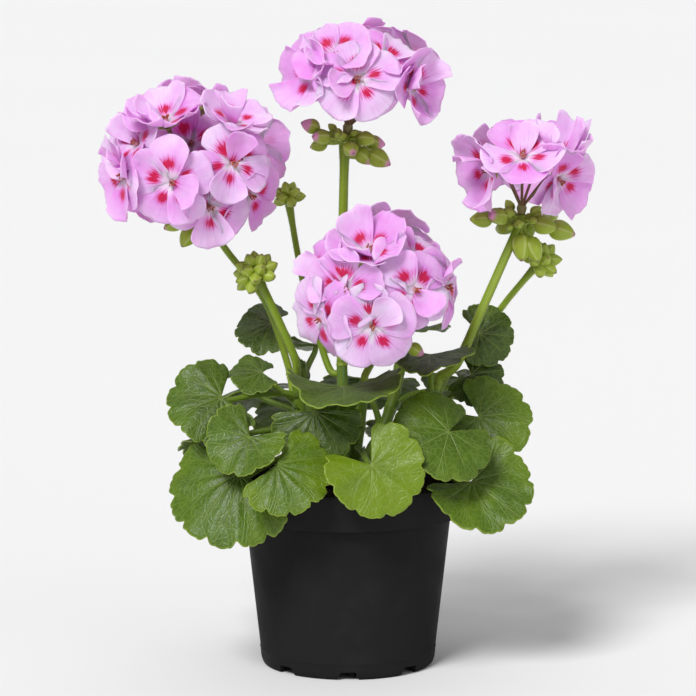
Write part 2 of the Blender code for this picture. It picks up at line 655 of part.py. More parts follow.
def blade_object(leaf, name):
    """The lobed blade, as one bent sheet with the blade's thickness."""
    shape = bmesh.new()
    angles = blade_angles()
    centre = shape.verts.new(blade_place(leaf, 0.0, 0.0))
    outer = [shape.verts.new(blade_place(leaf, angle, 1.0)) for angle in angles]
    middle = [shape.verts.new(blade_place(leaf, angle, 0.5)) for angle in angles[::3]]
    for index, pair in enumerate(zip(middle, middle[1:])):
        inner, following = pair
        first, second, third, fourth = outer[3 * index:3 * index + 4]
        shape.faces.new((centre, inner, following))
        shape.faces.new((inner, first, second))
        shape.faces.new((inner, second, third))
        shape.faces.new((inner, third, following))
        shape.faces.new((following, third, fourth))
    thing = add_object(name, shape)
    wall = thing.modifiers.new("thickness", "SOLIDIFY")
    wall.thickness = BLADE_THICKNESS * METRES_PER_MM
    wall.offset = 0.0
    return thing


def leaf_stalk_object(leaf, shoot, name):
    """The leaf's stalk, from inside its shoot to just through the blade."""
    start, _, _ = shoot_frame(shoot, leaf.at)
    forward, _, up = blade_axes(leaf)
    end = Vector(leaf.junction) + forward * 1.1 - up * 0.07
    reach = (end - start).length
    rising = Vector((0.0, 0.0, 0.18 * reach))
    away = (end - start) * 0.3
    points = bezier_points(start, start + away + rising,
                           end - up * 0.22 * reach, end, 2)
    points.insert(-1, end - up * 1.5)
    radii = even_radii(LEAF_STALK_RADIUS * 1.25, LEAF_STALK_RADIUS, len(points))
    return tube_object(name, points, radii, LEAF_STALK_SIDES)


def build_leafy_stem(shoot, material):
    """A shoot with its leaf stalks and blades, fused."""
    points = bezier_points(*shoot_curve(shoot), 4)
    points.insert(1, shoot.start + shoot.heading * STALK_LEAD)
    radii = even_radii(SHOOT_RADIUS, SHOOT_TIP_RADIUS, len(points))
    pieces = [tube_object("shoot", points, radii, SHOOT_SIDES)]
    for index, leaf in enumerate(leaf for leaf in LEAVES if leaf.shoot == shoot.name):
        pieces.append(leaf_stalk_object(leaf, shoot, f"leaf_stalk_{index}"))
        pieces.append(blade_object(leaf, f"blade_{index}"))
    return fuse(shoot.name, pieces, material)


def head_axis(head):
    """The direction from a head's hub to its ball's centre."""
    return (Vector(head.centre) - Vector(head.hub)).normalized()


def knob_middle(head):
    """Middle of the knob that a bloom's small stalks grow from, just above the hub."""
    return Vector(head.hub) + head_axis(head) * (HUB_RADIUS + SEAT_GAP + BLOOM_KNOB_RADIUS)


def hub_object(centre, axis):
    """The swollen top of a flower stalk, with a flat top that the bloom sits on."""
    points = [centre - axis * HUB_RADIUS, centre, centre + axis * HUB_RADIUS]
    return tube_object("hub", points, [HUB_TOP_RADIUS, HUB_RADIUS, HUB_TOP_RADIUS], SHOOT_SIDES)


def floret_place(head, floret, index):
    """Centre and outward direction of a floret on its head's ball."""
    wide, deep, high = head.ball
    right, above = floret.right, floret.above
    spread = max(0.04, 1.0 - (right / wide) ** 2 - (above / high) ** 2)
    back = -floret.front * deep * math.sqrt(spread)
    outward = Vector((right / wide ** 2, back / deep ** 2, above / high ** 2)).normalized()
    centre = Vector(head.centre) + Vector((right, back, above)) + outward * floret_layer(index)
    swung = Matrix.Rotation(math.radians(floret.turn), 3, "Z") @ outward
    _, up = upright_axes(swung)
    lift = math.radians(floret.tilt)
    return centre, swung * math.cos(lift) + up * math.sin(lift)


def floret_radius(index):
    """Florets differ a little in size."""
    return FLORET_RADIUS + 1.2 * math.sin(2.4 * index + 3.0)


def floret_layer(index):
    """Neighbouring florets lie at different depths, so that their petals overlap."""
    return FLORET_LAYER_STEP * (index % 3 - 1)


def petal_outline():
    """Angle from the petal's middle, share of the radius and lift of each outline point."""
    return ((-25.0, 0.93, -1.0), (0.0, 1.0, 0.0), (25.0, 0.93, 1.0), (36.0, 0.52, 0.0))


def upright_axes(outward):
    """Across and up at right angles to a direction."""
    upright = Vector((0.0, 0.0, 1.0))
    up = (upright - outward * upright.dot(outward)).normalized()
    return up.cross(outward), up


def floret_axes(outward, floret):
    """Across and up in a floret's own plane, with its roll."""
    across, up = upright_axes(outward)
    roll = math.radians(floret.roll)
    return across * math.cos(roll) - up * math.sin(roll), up * math.cos(roll) + across * math.sin(roll)


def petal_rings(shape, head, floret, index, offset):
    """Points of one face of the petals: for each petal its middle and its outline."""
    centre, outward = floret_place(head, floret, index)
    across, up = floret_axes(outward, floret)
    reach = math.sqrt(floret_radius(index) ** 2 - floret.droop ** 2)

    def place(angle, share, lift):
        turn = math.radians(angle)
        flat = (across * math.sin(turn) + up * math.cos(turn)) * reach * share
        height = lift + offset - floret.droop * share ** 2
        return shape.verts.new(centre + flat + outward * height)

    rings = []
    for petal in range(PETALS):
        middle_angle = FIRST_PETAL + PETAL_STEP * petal
        outline = [place(middle_angle + angle, share, lift)
                   for angle, share, lift in petal_outline()]
        rings.append((place(middle_angle, 0.45, 0.0), outline))
    return rings


def add_petal_face(shape, rings):
    """Faces of one side of the petals, outside their middles."""
    for petal in range(PETALS):
        middle, outline = rings[petal]
        chain = [rings[petal - 1][1][-1], *outline]
        for first, second in zip(chain, chain[1:]):
            shape.faces.new((middle, second, first))


def floret_object(head, floret, index, name):
    """Five petals in one lobed sheet round a throat, on a stalk that starts in the knob."""
    centre, outward = floret_place(head, floret, index)
    across, up = floret_axes(outward, floret)
    shape = bmesh.new()
    front = petal_rings(shape, head, floret, index, PETAL_THICKNESS / 2.0)
    back = petal_rings(shape, head, floret, index, -PETAL_THICKNESS / 2.0)
    add_petal_face(shape, front)
    add_petal_face(shape, back)
    throat = shape.verts.new(centre - outward * FLORET_THROAT_DEPTH * 0.5)
    neck = centre - outward * FLORET_THROAT_DEPTH
    turns = [math.radians(FIRST_PETAL + PETAL_STEP * petal) for petal in range(PETALS)]
    stalk = []
    for place, radius in ((neck, FLORET_NECK_RADIUS), (knob_middle(head), FLORET_STALK_RADIUS)):
        rim = [across * math.sin(turn) + up * math.cos(turn) for turn in turns]
        stalk.append([shape.verts.new(place + direction * radius) for direction in rim])
    for petal in range(PETALS):
        before = petal - 1
        shape.faces.new((throat, front[petal][0], front[before][1][-1]))
        shape.faces.new((throat, front[petal][1][-1], front[petal][0]))
        outline_front = [front[before][1][-1], *front[petal][1]]
        outline_back = [back[before][1][-1], *back[petal][1]]
        for step in range(len(outline_front) - 1):
            shape.faces.new((outline_front[step], outline_front[step + 1],
                             outline_back[step + 1], outline_back[step]))
        shape.faces.new((back[before][0], back[before][1][-1], stalk[0][before]))
        shape.faces.new((stalk[0][before], back[before][1][-1], stalk[0][petal]))
        shape.faces.new((stalk[0][petal], back[before][1][-1], back[petal][0]))
        upper, lower = stalk
        shape.faces.new((upper[before], upper[petal], lower[petal], lower[before]))
    shape.faces.new(stalk[-1])
    return add_object(name, shape)


def build_bloom(head, material):
    """A head's florets on their small stalks, which meet in a knob above the hub."""
    axis = head_axis(head)
    foot = Vector(head.hub) + axis * (HUB_RADIUS + SEAT_GAP)
    middle = knob_middle(head)
    pieces = [tube_object("knob", [foot, middle, middle * 2.0 - foot],
                          [HUB_TOP_RADIUS, BLOOM_KNOB_RADIUS, HUB_TOP_RADIUS], SHOOT_SIDES)]
    for index, floret in enumerate(head.florets):
        pieces.append(floret_object(head, floret, index, f"floret_{index}"))
    return fuse("bloom_" + head.name, pieces, material)


def stalk_start(shoot, fraction, towards, radius):
    """Where a flower stalk leaves its shoot's side, and in which direction."""
    point, axis, shoot_radius = shoot_frame(shoot, fraction)
    side = towards - point
    if fraction >= 1.0:
        return point + axis * SEAT_GAP, axis
    side = (side - axis * side.dot(axis)).normalized()
    direction = (side + axis * 0.3).normalized()
    return point + side * (shoot_radius + SEAT_GAP + 0.3 * radius), direction


def stalk_points(shoots, head, end):
    """A flower stalk's centre line, from just off its shoot to its end."""
    route = [Vector(place) for place in head.route]
    start, direction = stalk_start(shoots[head.shoot], head.at, route[0], head.stalk_radii[0])
    return [start, *smooth_route([start + direction * STALK_LEAD, *route, end], 2)]


def bud_object(root, foot, tip, name):
    """A bud with its own small stalk: pointed at its far end, widest below its middle."""
    belly = foot + (tip - foot) * 0.45
    width = BUD_WIDTH_SHARE * (tip - foot).length
    radii = [BUD_STALK_RADIUS, BUD_STALK_RADIUS * 1.3, width, width * 0.3]
    return tube_object(name, [root, foot, belly, tip], radii, BUD_SIDES)


def build_flower_stalk(head, shoots, material):
    """A flower stalk with its hub, and its buds on their own small stalks."""
    hub = Vector(head.hub)
    points = stalk_points(shoots, head, hub)
    radii = even_radii(*head.stalk_radii, len(points))
    pieces = [tube_object("stalk", points, radii, SHOOT_SIDES), hub_object(hub, head_axis(head))]
    for index, bud in enumerate(head.buds):
        reach = Vector(bud[:3])
        half = reach.normalized() * bud[3] * 0.5
        pieces.append(bud_object(hub, hub + reach - half, hub + reach + half, f"bud_{index}"))
    return fuse("flower_stalk_" + head.name, pieces, material)


def build_bud_head(head, shoots, material):
    """A closed head: buds spread evenly over a ball round the stalk's end."""
    centre = Vector(head.centre)
    points = stalk_points(shoots, head, centre)
    stalk_axis = (points[-1] - points[-2]).normalized()
    turn = stalk_axis.to_track_quat("Z", "Y")
    radii = even_radii(*head.stalk_radii, len(points))
    pieces = [tube_object("stalk", points, radii, SHOOT_SIDES), hub_object(centre, stalk_axis)]
    golden_turn = math.pi * (3.0 - math.sqrt(5.0))
    for index in range(head.bud_count):
        height = 1.0 - 1.5 * (index + 0.5) / head.bud_count
        spread = math.sqrt(1.0 - height ** 2)
        angle = golden_turn * index
        outward = turn @ Vector((spread * math.cos(angle), spread * math.sin(angle), height))
        foot = centre + outward * (head.ball_radius - head.bud_length)
        tip = centre + outward * head.ball_radius
        pieces.append(bud_object(centre, foot, tip, f"bud_{index}"))
    return fuse("bud_head_" + head.name, pieces, material)


def build():
    """Makes every part of the geranium."""
    clear_scene()
    black_plastic = make_material("pot_plastic", (0.022, 0.022, 0.023), 0.5)
    peat = make_material("peat", (0.030, 0.020, 0.014), 0.95)
    bark = make_material("stem_bark", (0.16, 0.19, 0.06), 0.7)
    leaf_green = make_material("leaf", (0.105, 0.23, 0.045), 0.55)
    stalk_green = make_material("flower_stalk", (0.23, 0.36, 0.05), 0.5)
    petal_pink = make_material("petal", (0.75, 0.38, 0.72), 0.6)
    shoots = {shoot.name: shoot for shoot in SHOOTS}
    build_pot(black_plastic)
    build_soil(peat)
    build_main_stem(bark)
    for shoot in SHOOTS:
        build_leafy_stem(shoot, leaf_green)
    for head in HEADS:
        build_flower_stalk(head, shoots, stalk_green)
        build_bloom(head, petal_pink)
    for head in BUD_HEADS:
        build_bud_head(head, shoots, stalk_green)


build()
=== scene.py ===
"""The looks of a zonal geranium in its nursery pot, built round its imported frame.

Sizes are in millimetres and become metres in the meshes. +Z is up and the plant's front faces
-Y. Shoots, leaves, flower heads and bud heads stand where the frame has them, and each gets a
finer piece here: crenate blades with their veins, separate petals, stamens, ribbed buds, hairs.
"""

import logging
import math
import random
from dataclasses import dataclass
from enum import Enum

import bmesh
import bpy
import numpy as np
from mathutils import Matrix, Vector


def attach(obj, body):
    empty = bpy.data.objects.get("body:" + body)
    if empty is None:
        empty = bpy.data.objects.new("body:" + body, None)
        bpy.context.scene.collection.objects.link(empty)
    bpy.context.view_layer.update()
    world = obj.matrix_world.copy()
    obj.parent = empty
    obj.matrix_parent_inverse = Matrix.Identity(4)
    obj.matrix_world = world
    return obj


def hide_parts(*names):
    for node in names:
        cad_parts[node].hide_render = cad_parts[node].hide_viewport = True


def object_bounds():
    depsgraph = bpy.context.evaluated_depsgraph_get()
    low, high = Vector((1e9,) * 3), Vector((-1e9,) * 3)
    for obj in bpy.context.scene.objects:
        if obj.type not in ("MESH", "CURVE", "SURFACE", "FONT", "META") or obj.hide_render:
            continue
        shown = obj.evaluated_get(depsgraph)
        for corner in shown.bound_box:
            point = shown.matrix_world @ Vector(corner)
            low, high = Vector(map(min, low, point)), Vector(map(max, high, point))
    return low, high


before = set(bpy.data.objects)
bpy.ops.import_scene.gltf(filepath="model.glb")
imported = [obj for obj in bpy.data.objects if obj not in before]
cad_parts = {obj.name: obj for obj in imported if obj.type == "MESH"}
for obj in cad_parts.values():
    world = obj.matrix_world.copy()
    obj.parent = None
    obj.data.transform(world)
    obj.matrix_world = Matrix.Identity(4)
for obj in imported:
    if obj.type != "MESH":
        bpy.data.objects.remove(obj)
CAD_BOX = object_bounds()

Source = bpy.types.NodeSocket | float

METRES_PER_MM = 0.001
LEAF_MAP = "lamina"
PETAL_MAP = "petal"

# How far inside the CAD box the easing starts, and how far past it the shapes may reach
EASE_ZONE = 8.0
EASE_EXCESS = 3.6

# Where shoots leave the main stem
MAIN_STEM_RADIUS = 6.0
MAIN_STEM_TOP = 103.0
SEAT_GAP = 0.35
STALK_LEAD = 3.0

# Geometry Nodes' tubes, and the hairs on them
STEM_SIDES = 12
STALK_SIDES = 16
PEDICEL_SIDES = 8
HAIR_LEAN = 0.45
CRUMB_LEAN = 3.0

# Blades
LOBE_STEP = 42.0
BACK_LOBE_SHRINK = 0.22
BLADE_HALF_ANGLE = 168.0
CORNER_START = 150.0
CORNER_CUT = 0.16
LOBE_NOTCH = 0.07
LOBE_NOTCH_ANGLE = 5.5
TOOTH_STEP = 14.0
TOOTH_DEPTH = 0.024
PLEAT = 0.017
RUFFLE = 0.026
FINE_RUFFLE = 0.013
PUCKER = 0.006

# Heads
PETALS = 5
PETAL_STEP = 72.0
FLORET_RADIUS = 21.9
FLORET_LAYER_STEP = 3.8
FLORET_DROOP = 3.5
HUB_RADIUS = 3.3
HUB_SWELL = 1.3
BLOOM_KNOB_RADIUS = 2.7
NECK_DEPTH = 4.6
STAMENS = 9
BRACTS = 7
SCALE_THICKNESS = 0.35
YOUNG_BUD_TURN = 2.4
GOLDEN_TURN = math.pi * (3.0 - math.sqrt(5.0))


class Slot(Enum):
    """The record's material slots."""
    POT = "pot_plastic"
    PEAT = "peat"
    BARK = "stem_bark"
    LEAF = "leaf"
    STALK = "flower_stalk"
    PETAL = "petal"


class Side(Enum):
    """Which way a floret of a head looks."""
    FRONT = 1
    BACK = -1


def linear(hex_colour: str) -> tuple[float, float, float, float]:
    """Turns an sRGB hex colour to the linear values that Blender's sockets take.

    Args:
        hex_colour: a colour such as "#2D2D2D".

    Returns:
        Red, green, blue and an alpha of 1.
    """
    values = [int(hex_colour[place:place + 2], 16) / 255.0 for place in (1, 3, 5)]
    straight = [v / 12.92 if v <= 0.04045 else ((v + 0.055) / 1.055) ** 2.4 for v in values]
    return (*straight, 1.0)


def add_node(tree: bpy.types.NodeTree, kind: str, settings: dict | None = None,
             inputs: dict | None = None) -> bpy.types.Node:
    """Adds a node, sets its properties, and sets or links its inputs.

    Args:
        tree: the node tree that gets the node.
        kind: the node's type name.
        settings: property name to value.
        inputs: socket name or index to a value, or to the output socket linked to it.

    Returns:
        The node.
    """
    node = tree.nodes.new(kind)
    for name, value in (settings or {}).items():
        setattr(node, name, value)
    for key, value in (inputs or {}).items():
        if isinstance(value, bpy.types.NodeSocket):
            tree.links.new(value, node.inputs[key])
        else:
            node.inputs[key].default_value = value
    return node


def unit(vector: np.ndarray) -> np.ndarray:
    """The vector at length 1."""
    return vector / np.linalg.norm(vector)


def square_to(vector: np.ndarray, axis: np.ndarray) -> np.ndarray:
    """The part of a vector at right angles to a unit axis, at length 1."""
    return unit(vector - axis * np.dot(vector, axis))


def point(*values: float) -> np.ndarray:
    """Three numbers as an array."""
    return np.array(values, float)


def bezier(curve: tuple, fractions: np.ndarray | float) -> np.ndarray:
    """Points on a cubic curve.

    Args:
        curve: the four control points.
        fractions: one or more fractions of the way along.

    Returns:
        One point for each fraction.
    """
    t = np.asarray(fractions, float)[..., None]
    rest = 1.0 - t
    start, start_handle, end_handle, end = curve
    return (start * rest ** 3 + start_handle * 3.0 * rest ** 2 * t
            + end_handle * 3.0 * rest * t ** 2 + end * t ** 3)


def smooth_route(points: list, steps: int) -> np.ndarray:
    """Points on a smooth curve through the given ones.

    Args:
        points: the points to pass through.
        steps: how many spans each gap gets.

    Returns:
        The points in order, from the first to the last.
    """
    padded = [points[0] * 2.0 - points[1], *points, points[-1] * 2.0 - points[-2]]
    route = [points[0][None]]
    fractions = np.arange(1, steps + 1) / steps
    for before, start, end, after in zip(padded, padded[1:], padded[2:], padded[3:]):
        curve = (start, start + (end - before) / 6.0, end - (after - start) / 6.0, end)
        route.append(bezier(curve, fractions))
    return np.concatenate(route)


def ring_frames(points: np.ndarray) -> tuple[np.ndarray, np.ndarray]:
    """Two cross directions at each point of a path, carried along without twisting."""
    tangents = np.gradient(points, axis=0)
    tangents /= np.linalg.norm(tangents, axis=1)[:, None]
    helper = point(0.0, 0.0, 1.0) if abs(tangents[0][2]) < 0.9 else point(1.0, 0.0, 0.0)
    side = square_to(helper, tangents[0])
    sides = []
    for tangent in tangents:
        side = square_to(side, tangent)
        sides.append(side)
    sides = np.array(sides)
    return sides, np.cross(tangents, sides)


def smooth_step(low: float, high: float, values: np.ndarray) -> np.ndarray:
    """0 below low, 1 above high and a soft step between."""
    share = np.clip((values - low) / (high - low), 0.0, 1.0)
    return share * share * (3.0 - 2.0 * share)


class MeshPile:
    """Points, faces, a UV map and point attributes of one piece, gathered before its mesh."""

    def __init__(self) -> None:
        """Starts with nothing."""
        self.places: list[np.ndarray] = []
        self.faces: list[tuple] = []
        self.maps: list[np.ndarray] = []
        self.tags: list[dict] = []
        self.count = 0

    def add(self, places: np.ndarray, faces: np.ndarray, uv: np.ndarray, **tags: object) -> None:
        """Adds one closed body.

        Args:
            places: its points, in millimetres.
            faces: four point numbers a face. A repeated number makes a triangle.
            uv: two map values a point.
            **tags: an attribute's name, and its value for all points or for each.
        """
        self.places.append(places)
        self.maps.append(uv)
        count = len(places)
        self.tags.append({name: np.broadcast_to(value, count) for name, value in tags.items()})
        for face in (faces + self.count).tolist():
            self.faces.append(tuple(dict.fromkeys(face)))
        self.count += count

    def add_sheet(self, grid: np.ndarray, uv: np.ndarray, up: np.ndarray, thickness: float,
                  pole: bool = False, **tags: object) -> None:
        """Adds a thin closed sheet.

        Args:
            grid: rows of points on its middle surface.
            uv: two map values for each of these.
            up: a direction that its upper face looks in.
            thickness: in millimetres.
            pole: whether the first row is a single point.
            **tags: attributes, as for add.
        """
        along_rows = np.gradient(grid, axis=0)
        normals = np.cross(np.gradient(grid, axis=1), along_rows)
        if np.einsum("ijk,k->", normals, up) < 0.0:
            grid, uv = grid[:, ::-1], uv[:, ::-1]
            tags = {k: v[:, ::-1] if np.ndim(v) == 2 else v for k, v in tags.items()}
            normals = -normals[:, ::-1]
        if pole:
            normals[0] = normals[1].sum(axis=0)
        normals /= np.linalg.norm(normals, axis=2)[..., None] + 1e-12
        rows, columns = grid.shape[:2]
        number = np.arange(rows * columns).reshape(rows, columns)
        if pole:
            number[0] = 0
        under = number + rows * columns
        a, b, c, d = number[:-1, :-1], number[:-1, 1:], number[1:, 1:], number[1:, :-1]
        upper = np.stack([a, b, c, d], -1).reshape(-1, 4)
        lower = np.stack([under[:-1, :-1], under[1:, :-1], under[1:, 1:], under[:-1, 1:]],
                         -1).reshape(-1, 4)
        edges = [(number[-1], under[-1]), (number[::-1, -1], under[::-1, -1]),
                 (number[:, 0], under[:, 0])]
        if not pole:
            edges.append((number[0, ::-1], under[0, ::-1]))
        walls = [np.stack([top[:-1], top[1:], bottom[1:], bottom[:-1]], -1)
                 for top, bottom in edges]
        half = normals * thickness / 2.0
        places = np.concatenate([(grid + half).reshape(-1, 3), (grid - half).reshape(-1, 3)])
        flat = {k: np.tile(np.broadcast_to(v, (rows, columns)).reshape(-1), 2)
                for k, v in tags.items()}
        back = np.repeat([0.0, 1.0], rows * columns)
        self.add(places, np.concatenate([upper, lower, *walls]), np.tile(uv.reshape(-1, 2), (2, 1)),
                 back=back, **flat)

    def add_loft(self, points: np.ndarray, radii: np.ndarray, sides: int, ribs: float = 0.0,
                 **tags: object) -> None:
        """Adds a closed tube along a path, with every other side drawn in if it is ribbed.

        Args:
            points: the path.
            radii: the tube's radius at each point.
            sides: sides of a ring, an even number if it is ribbed.
            ribs: how far every other side is drawn in, as a share of the radius.
            **tags: attributes, as for add.
        """
        turns = 2.0 * math.pi * np.arange(sides) / sides
        side, across = ring_frames(points)
        share = 1.0 - ribs * (np.arange(sides) % 2)
        offsets = (side[:, None] * np.cos(turns)[:, None]
                   + across[:, None] * np.sin(turns)[:, None])
        rings = points[:, None] + offsets * (radii[:, None] * share)[..., None]
        rows = len(points)
        number = np.arange(rows * sides).reshape(rows, sides)
        following = np.roll(number, -1, axis=1)
        walls = np.stack([number[:-1], following[:-1], following[1:], number[1:]],
                         -1).reshape(-1, 4)
        foot, tip = rows * sides, rows * sides + 1
        lower = np.stack([np.full(sides, foot), following[0], number[0], np.full(sides, foot)], -1)
        upper = np.stack([np.full(sides, tip), number[-1], following[-1], np.full(sides, tip)], -1)
        lengths = np.linalg.norm(np.diff(points, axis=0), axis=1)
        along = np.concatenate([[0.0], np.cumsum(lengths)]) / lengths.sum()
        spans = np.concatenate([np.repeat(along, sides), [0.0, 1.0]])
        around = np.concatenate([np.tile(np.arange(sides) / sides, rows), [0.0, 0.0]])
        places = np.concatenate([rings.reshape(-1, 3), points[:1], points[-1:]])
        self.add(places, np.concatenate([walls, lower, upper]), np.stack([around, spans], -1),
                 along=spans, around=around, **tags)

    def to_mesh(self, name: str, uv_name: str = LEAF_MAP, smooth: bool = True) -> bpy.types.Mesh:
        """Makes the mesh, in metres.

        Args:
            name: the mesh's name.
            uv_name: the UV map's name.
            smooth: whether it is shaded smooth.

        Returns:
            The mesh, with its UV map and attributes.
        """
        mesh = bpy.data.meshes.new(name)
        places = np.concatenate(self.places) * METRES_PER_MM
        mesh.from_pydata(places.tolist(), [], self.faces)
        loops = np.zeros(len(mesh.loops), np.int32)
        mesh.loops.foreach_get("vertex_index", loops)
        uv = np.concatenate(self.maps)[loops].astype(np.float32)
        mesh.uv_layers.new(name=uv_name).data.foreach_set("uv", uv.ravel())
        for tag in sorted({name for tags in self.tags for name in tags}):
            values = [tags.get(tag, np.zeros(len(places))) for tags, places
                      in zip(self.tags, self.places)]
            attribute = mesh.attributes.new(tag, "FLOAT", "POINT")
            attribute.data.foreach_set("value", np.concatenate(values).astype(np.float32))
        if smooth:
            mesh.shade_smooth()
        mesh.update()
        return mesh


class Strands:
    """Paths of one piece, which a Geometry Nodes tree turns to tubes."""

    def __init__(self) -> None:
        """Starts with no path."""
        self.places: list[np.ndarray] = []
        self.radii: list[np.ndarray] = []
        self.along: list[np.ndarray] = []
        self.tones: list[np.ndarray] = []
        self.edges: list[tuple[int, int]] = []
        self.count = 0

    def add(self, points: np.ndarray, radii: np.ndarray, tone: float | np.ndarray = 0.0) -> None:
        """Adds a path.

        Args:
            points: the path, in millimetres.
            radii: the tube's radius at each point.
            tone: the finish's tone, for all points or for each.
        """
        count = len(points)
        self.places.append(points)
        self.radii.append(np.broadcast_to(radii, count))
        self.along.append(np.linspace(0.0, 1.0, count))
        self.tones.append(np.broadcast_to(tone, count))
        self.edges += [(self.count + step, self.count + step + 1) for step in range(count - 1)]
        self.count += count

    def to_mesh(self, name: str) -> bpy.types.Mesh:
        """The paths as a mesh of edges, in metres, with radius, along and tone at each point."""
        mesh = bpy.data.meshes.new(name)
        mesh.from_pydata((np.concatenate(self.places) * METRES_PER_MM).tolist(), self.edges, [])
        radii = np.concatenate(self.radii) * METRES_PER_MM
        for tag, values in (("radius", radii), ("along", np.concatenate(self.along)),
                            ("tone", np.concatenate(self.tones))):
            attribute = mesh.attributes.new(tag, "FLOAT", "POINT")
            attribute.data.foreach_set("value", values.astype(np.float32))
        return mesh


def open_tree(name: str, sockets: dict[str, str]) -> tuple[bpy.types.NodeTree, bpy.types.Node]:
    """Starts a Geometry Nodes tree.

    Args:
        name: the tree's name.
        sockets: each input's name and socket type.

    Returns:
        The tree and its input node.
    """
    tree = bpy.data.node_groups.new(name, "GeometryNodeTree")
    for socket_name, kind in sockets.items():
        tree.interface.new_socket(socket_name, in_out="INPUT", socket_type=kind)
    tree.interface.new_socket("Geometry", in_out="OUTPUT", socket_type="NodeSocketGeometry")
    return tree, add_node(tree, "NodeGroupInput")


def close_tree(tree: bpy.types.NodeTree, geometry: bpy.types.NodeSocket,
               material: bpy.types.NodeSocket) -> bpy.types.NodeTree:
    """Ends a tree in Realize Instances and Set Material.

    Args:
        tree: the tree.
        geometry: what it has made.
        material: the input that holds the finish.

    Returns:
        The tree.
    """
    real = add_node(tree, "GeometryNodeRealizeInstances", {}, {"Geometry": geometry})
    dressed = add_node(tree, "GeometryNodeSetMaterial", {},
                       {"Geometry": real.outputs[0], "Material": material})
    add_node(tree, "NodeGroupOutput", {}, {0: dressed.outputs[0]})
    return tree


def stored(tree: bpy.types.NodeTree, name: str, kind: str = "FLOAT") -> bpy.types.NodeSocket:
    """The source's point attribute of that name."""
    return add_node(tree, "GeometryNodeInputNamedAttribute", {"data_type": kind},
                    {"Name": name}).outputs[0]


def path_tree() -> bpy.types.NodeTree:
    """A tree that sweeps a round section along paths, each as thick as its points say."""
    tree, given = open_tree("round_tubes", {
        "Geometry": "NodeSocketGeometry", "Sides": "NodeSocketInt",
        "Material": "NodeSocketMaterial"})
    curves = add_node(tree, "GeometryNodeMeshToCurve", {}, {"Mesh": given.outputs["Geometry"]})
    ring = add_node(tree, "GeometryNodeCurvePrimitiveCircle", {"mode": "RADIUS"},
                    {"Resolution": given.outputs["Sides"], "Radius": 1.0})
    place = add_node(tree, "GeometryNodeSplineParameter")
    section = add_node(tree, "GeometryNodeStoreNamedAttribute",
                       {"data_type": "FLOAT", "domain": "POINT"},
                       {"Geometry": ring.outputs[0], "Name": "around", "Value": place.outputs[0]})
    tubes = add_node(tree, "GeometryNodeCurveToMesh", {},
                     {"Curve": curves.outputs[0], "Profile Curve": section.outputs[0],
                      "Scale": stored(tree, "radius"), "Fill Caps": True})
    smooth = add_node(tree, "GeometryNodeSetShadeSmooth", {}, {"Geometry": tubes.outputs[0]})
    return close_tree(tree, smooth.outputs[0], given.outputs["Material"])


def set_out_tree() -> bpy.types.NodeTree:
    """A tree that puts a copy of a template on each point, along the point's heading."""
    tree, given = open_tree("set_out", {
        "Geometry": "NodeSocketGeometry", "Template": "NodeSocketObject",
        "Material": "NodeSocketMaterial"})
    template = add_node(tree, "GeometryNodeObjectInfo", {}, {0: given.outputs["Template"]})
    turn = add_node(tree, "FunctionNodeAlignRotationToVector", {"axis": "Z"},
                    {"Vector": stored(tree, "heading", "FLOAT_VECTOR")})
    copies = add_node(tree, "GeometryNodeInstanceOnPoints", {}, {
        "Points": given.outputs["Geometry"], "Instance": template.outputs["Geometry"],
        "Rotation": turn.outputs[0], "Scale": stored(tree, "size")})
    return close_tree(tree, copies.outputs[0], given.outputs["Material"])


def scatter_tree() -> bpy.types.NodeTree:
    """A tree that scatters a template over a surface, standing on it and leaning at random."""
    tree, given = open_tree("scatter", {
        "Geometry": "NodeSocketGeometry", "Template": "NodeSocketObject",
        "Density": "NodeSocketFloat", "Smallest": "NodeSocketFloat", "Largest": "NodeSocketFloat",
        "Lean": "NodeSocketFloat", "Seed": "NodeSocketInt", "Material": "NodeSocketMaterial"})
    template = add_node(tree, "GeometryNodeObjectInfo", {}, {0: given.outputs["Template"]})
    spots = add_node(tree, "GeometryNodeDistributePointsOnFaces", {"distribute_method": "RANDOM"},
                     {"Mesh": given.outputs["Geometry"], "Density": given.outputs["Density"],
                      "Seed": given.outputs["Seed"]})
    size = add_node(tree, "FunctionNodeRandomValue", {"data_type": "FLOAT"},
                    {"Min": given.outputs["Smallest"], "Max": given.outputs["Largest"],
                     "Seed": given.outputs["Seed"]})
    copies = add_node(tree, "GeometryNodeInstanceOnPoints", {},
                      {"Points": spots.outputs["Points"], "Instance": template.outputs["Geometry"],
                       "Rotation": spots.outputs["Rotation"], "Scale": size.outputs[1]})
    draw = add_node(tree, "FunctionNodeRandomValue", {"data_type": "FLOAT_VECTOR"},
                    {0: (-1.0, -1.0, -1.0), 1: (1.0, 1.0, 1.0), "Seed": given.outputs["Seed"]})
    lean = add_node(tree, "ShaderNodeVectorMath", {"operation": "SCALE"},
                    {0: draw.outputs[0], "Scale": given.outputs["Lean"]})
    leaning = add_node(tree, "GeometryNodeRotateInstances", {},
                       {"Instances": copies.outputs[0], "Rotation": lean.outputs[0]})
    return close_tree(tree, leaning.outputs[0], given.outputs["Material"])


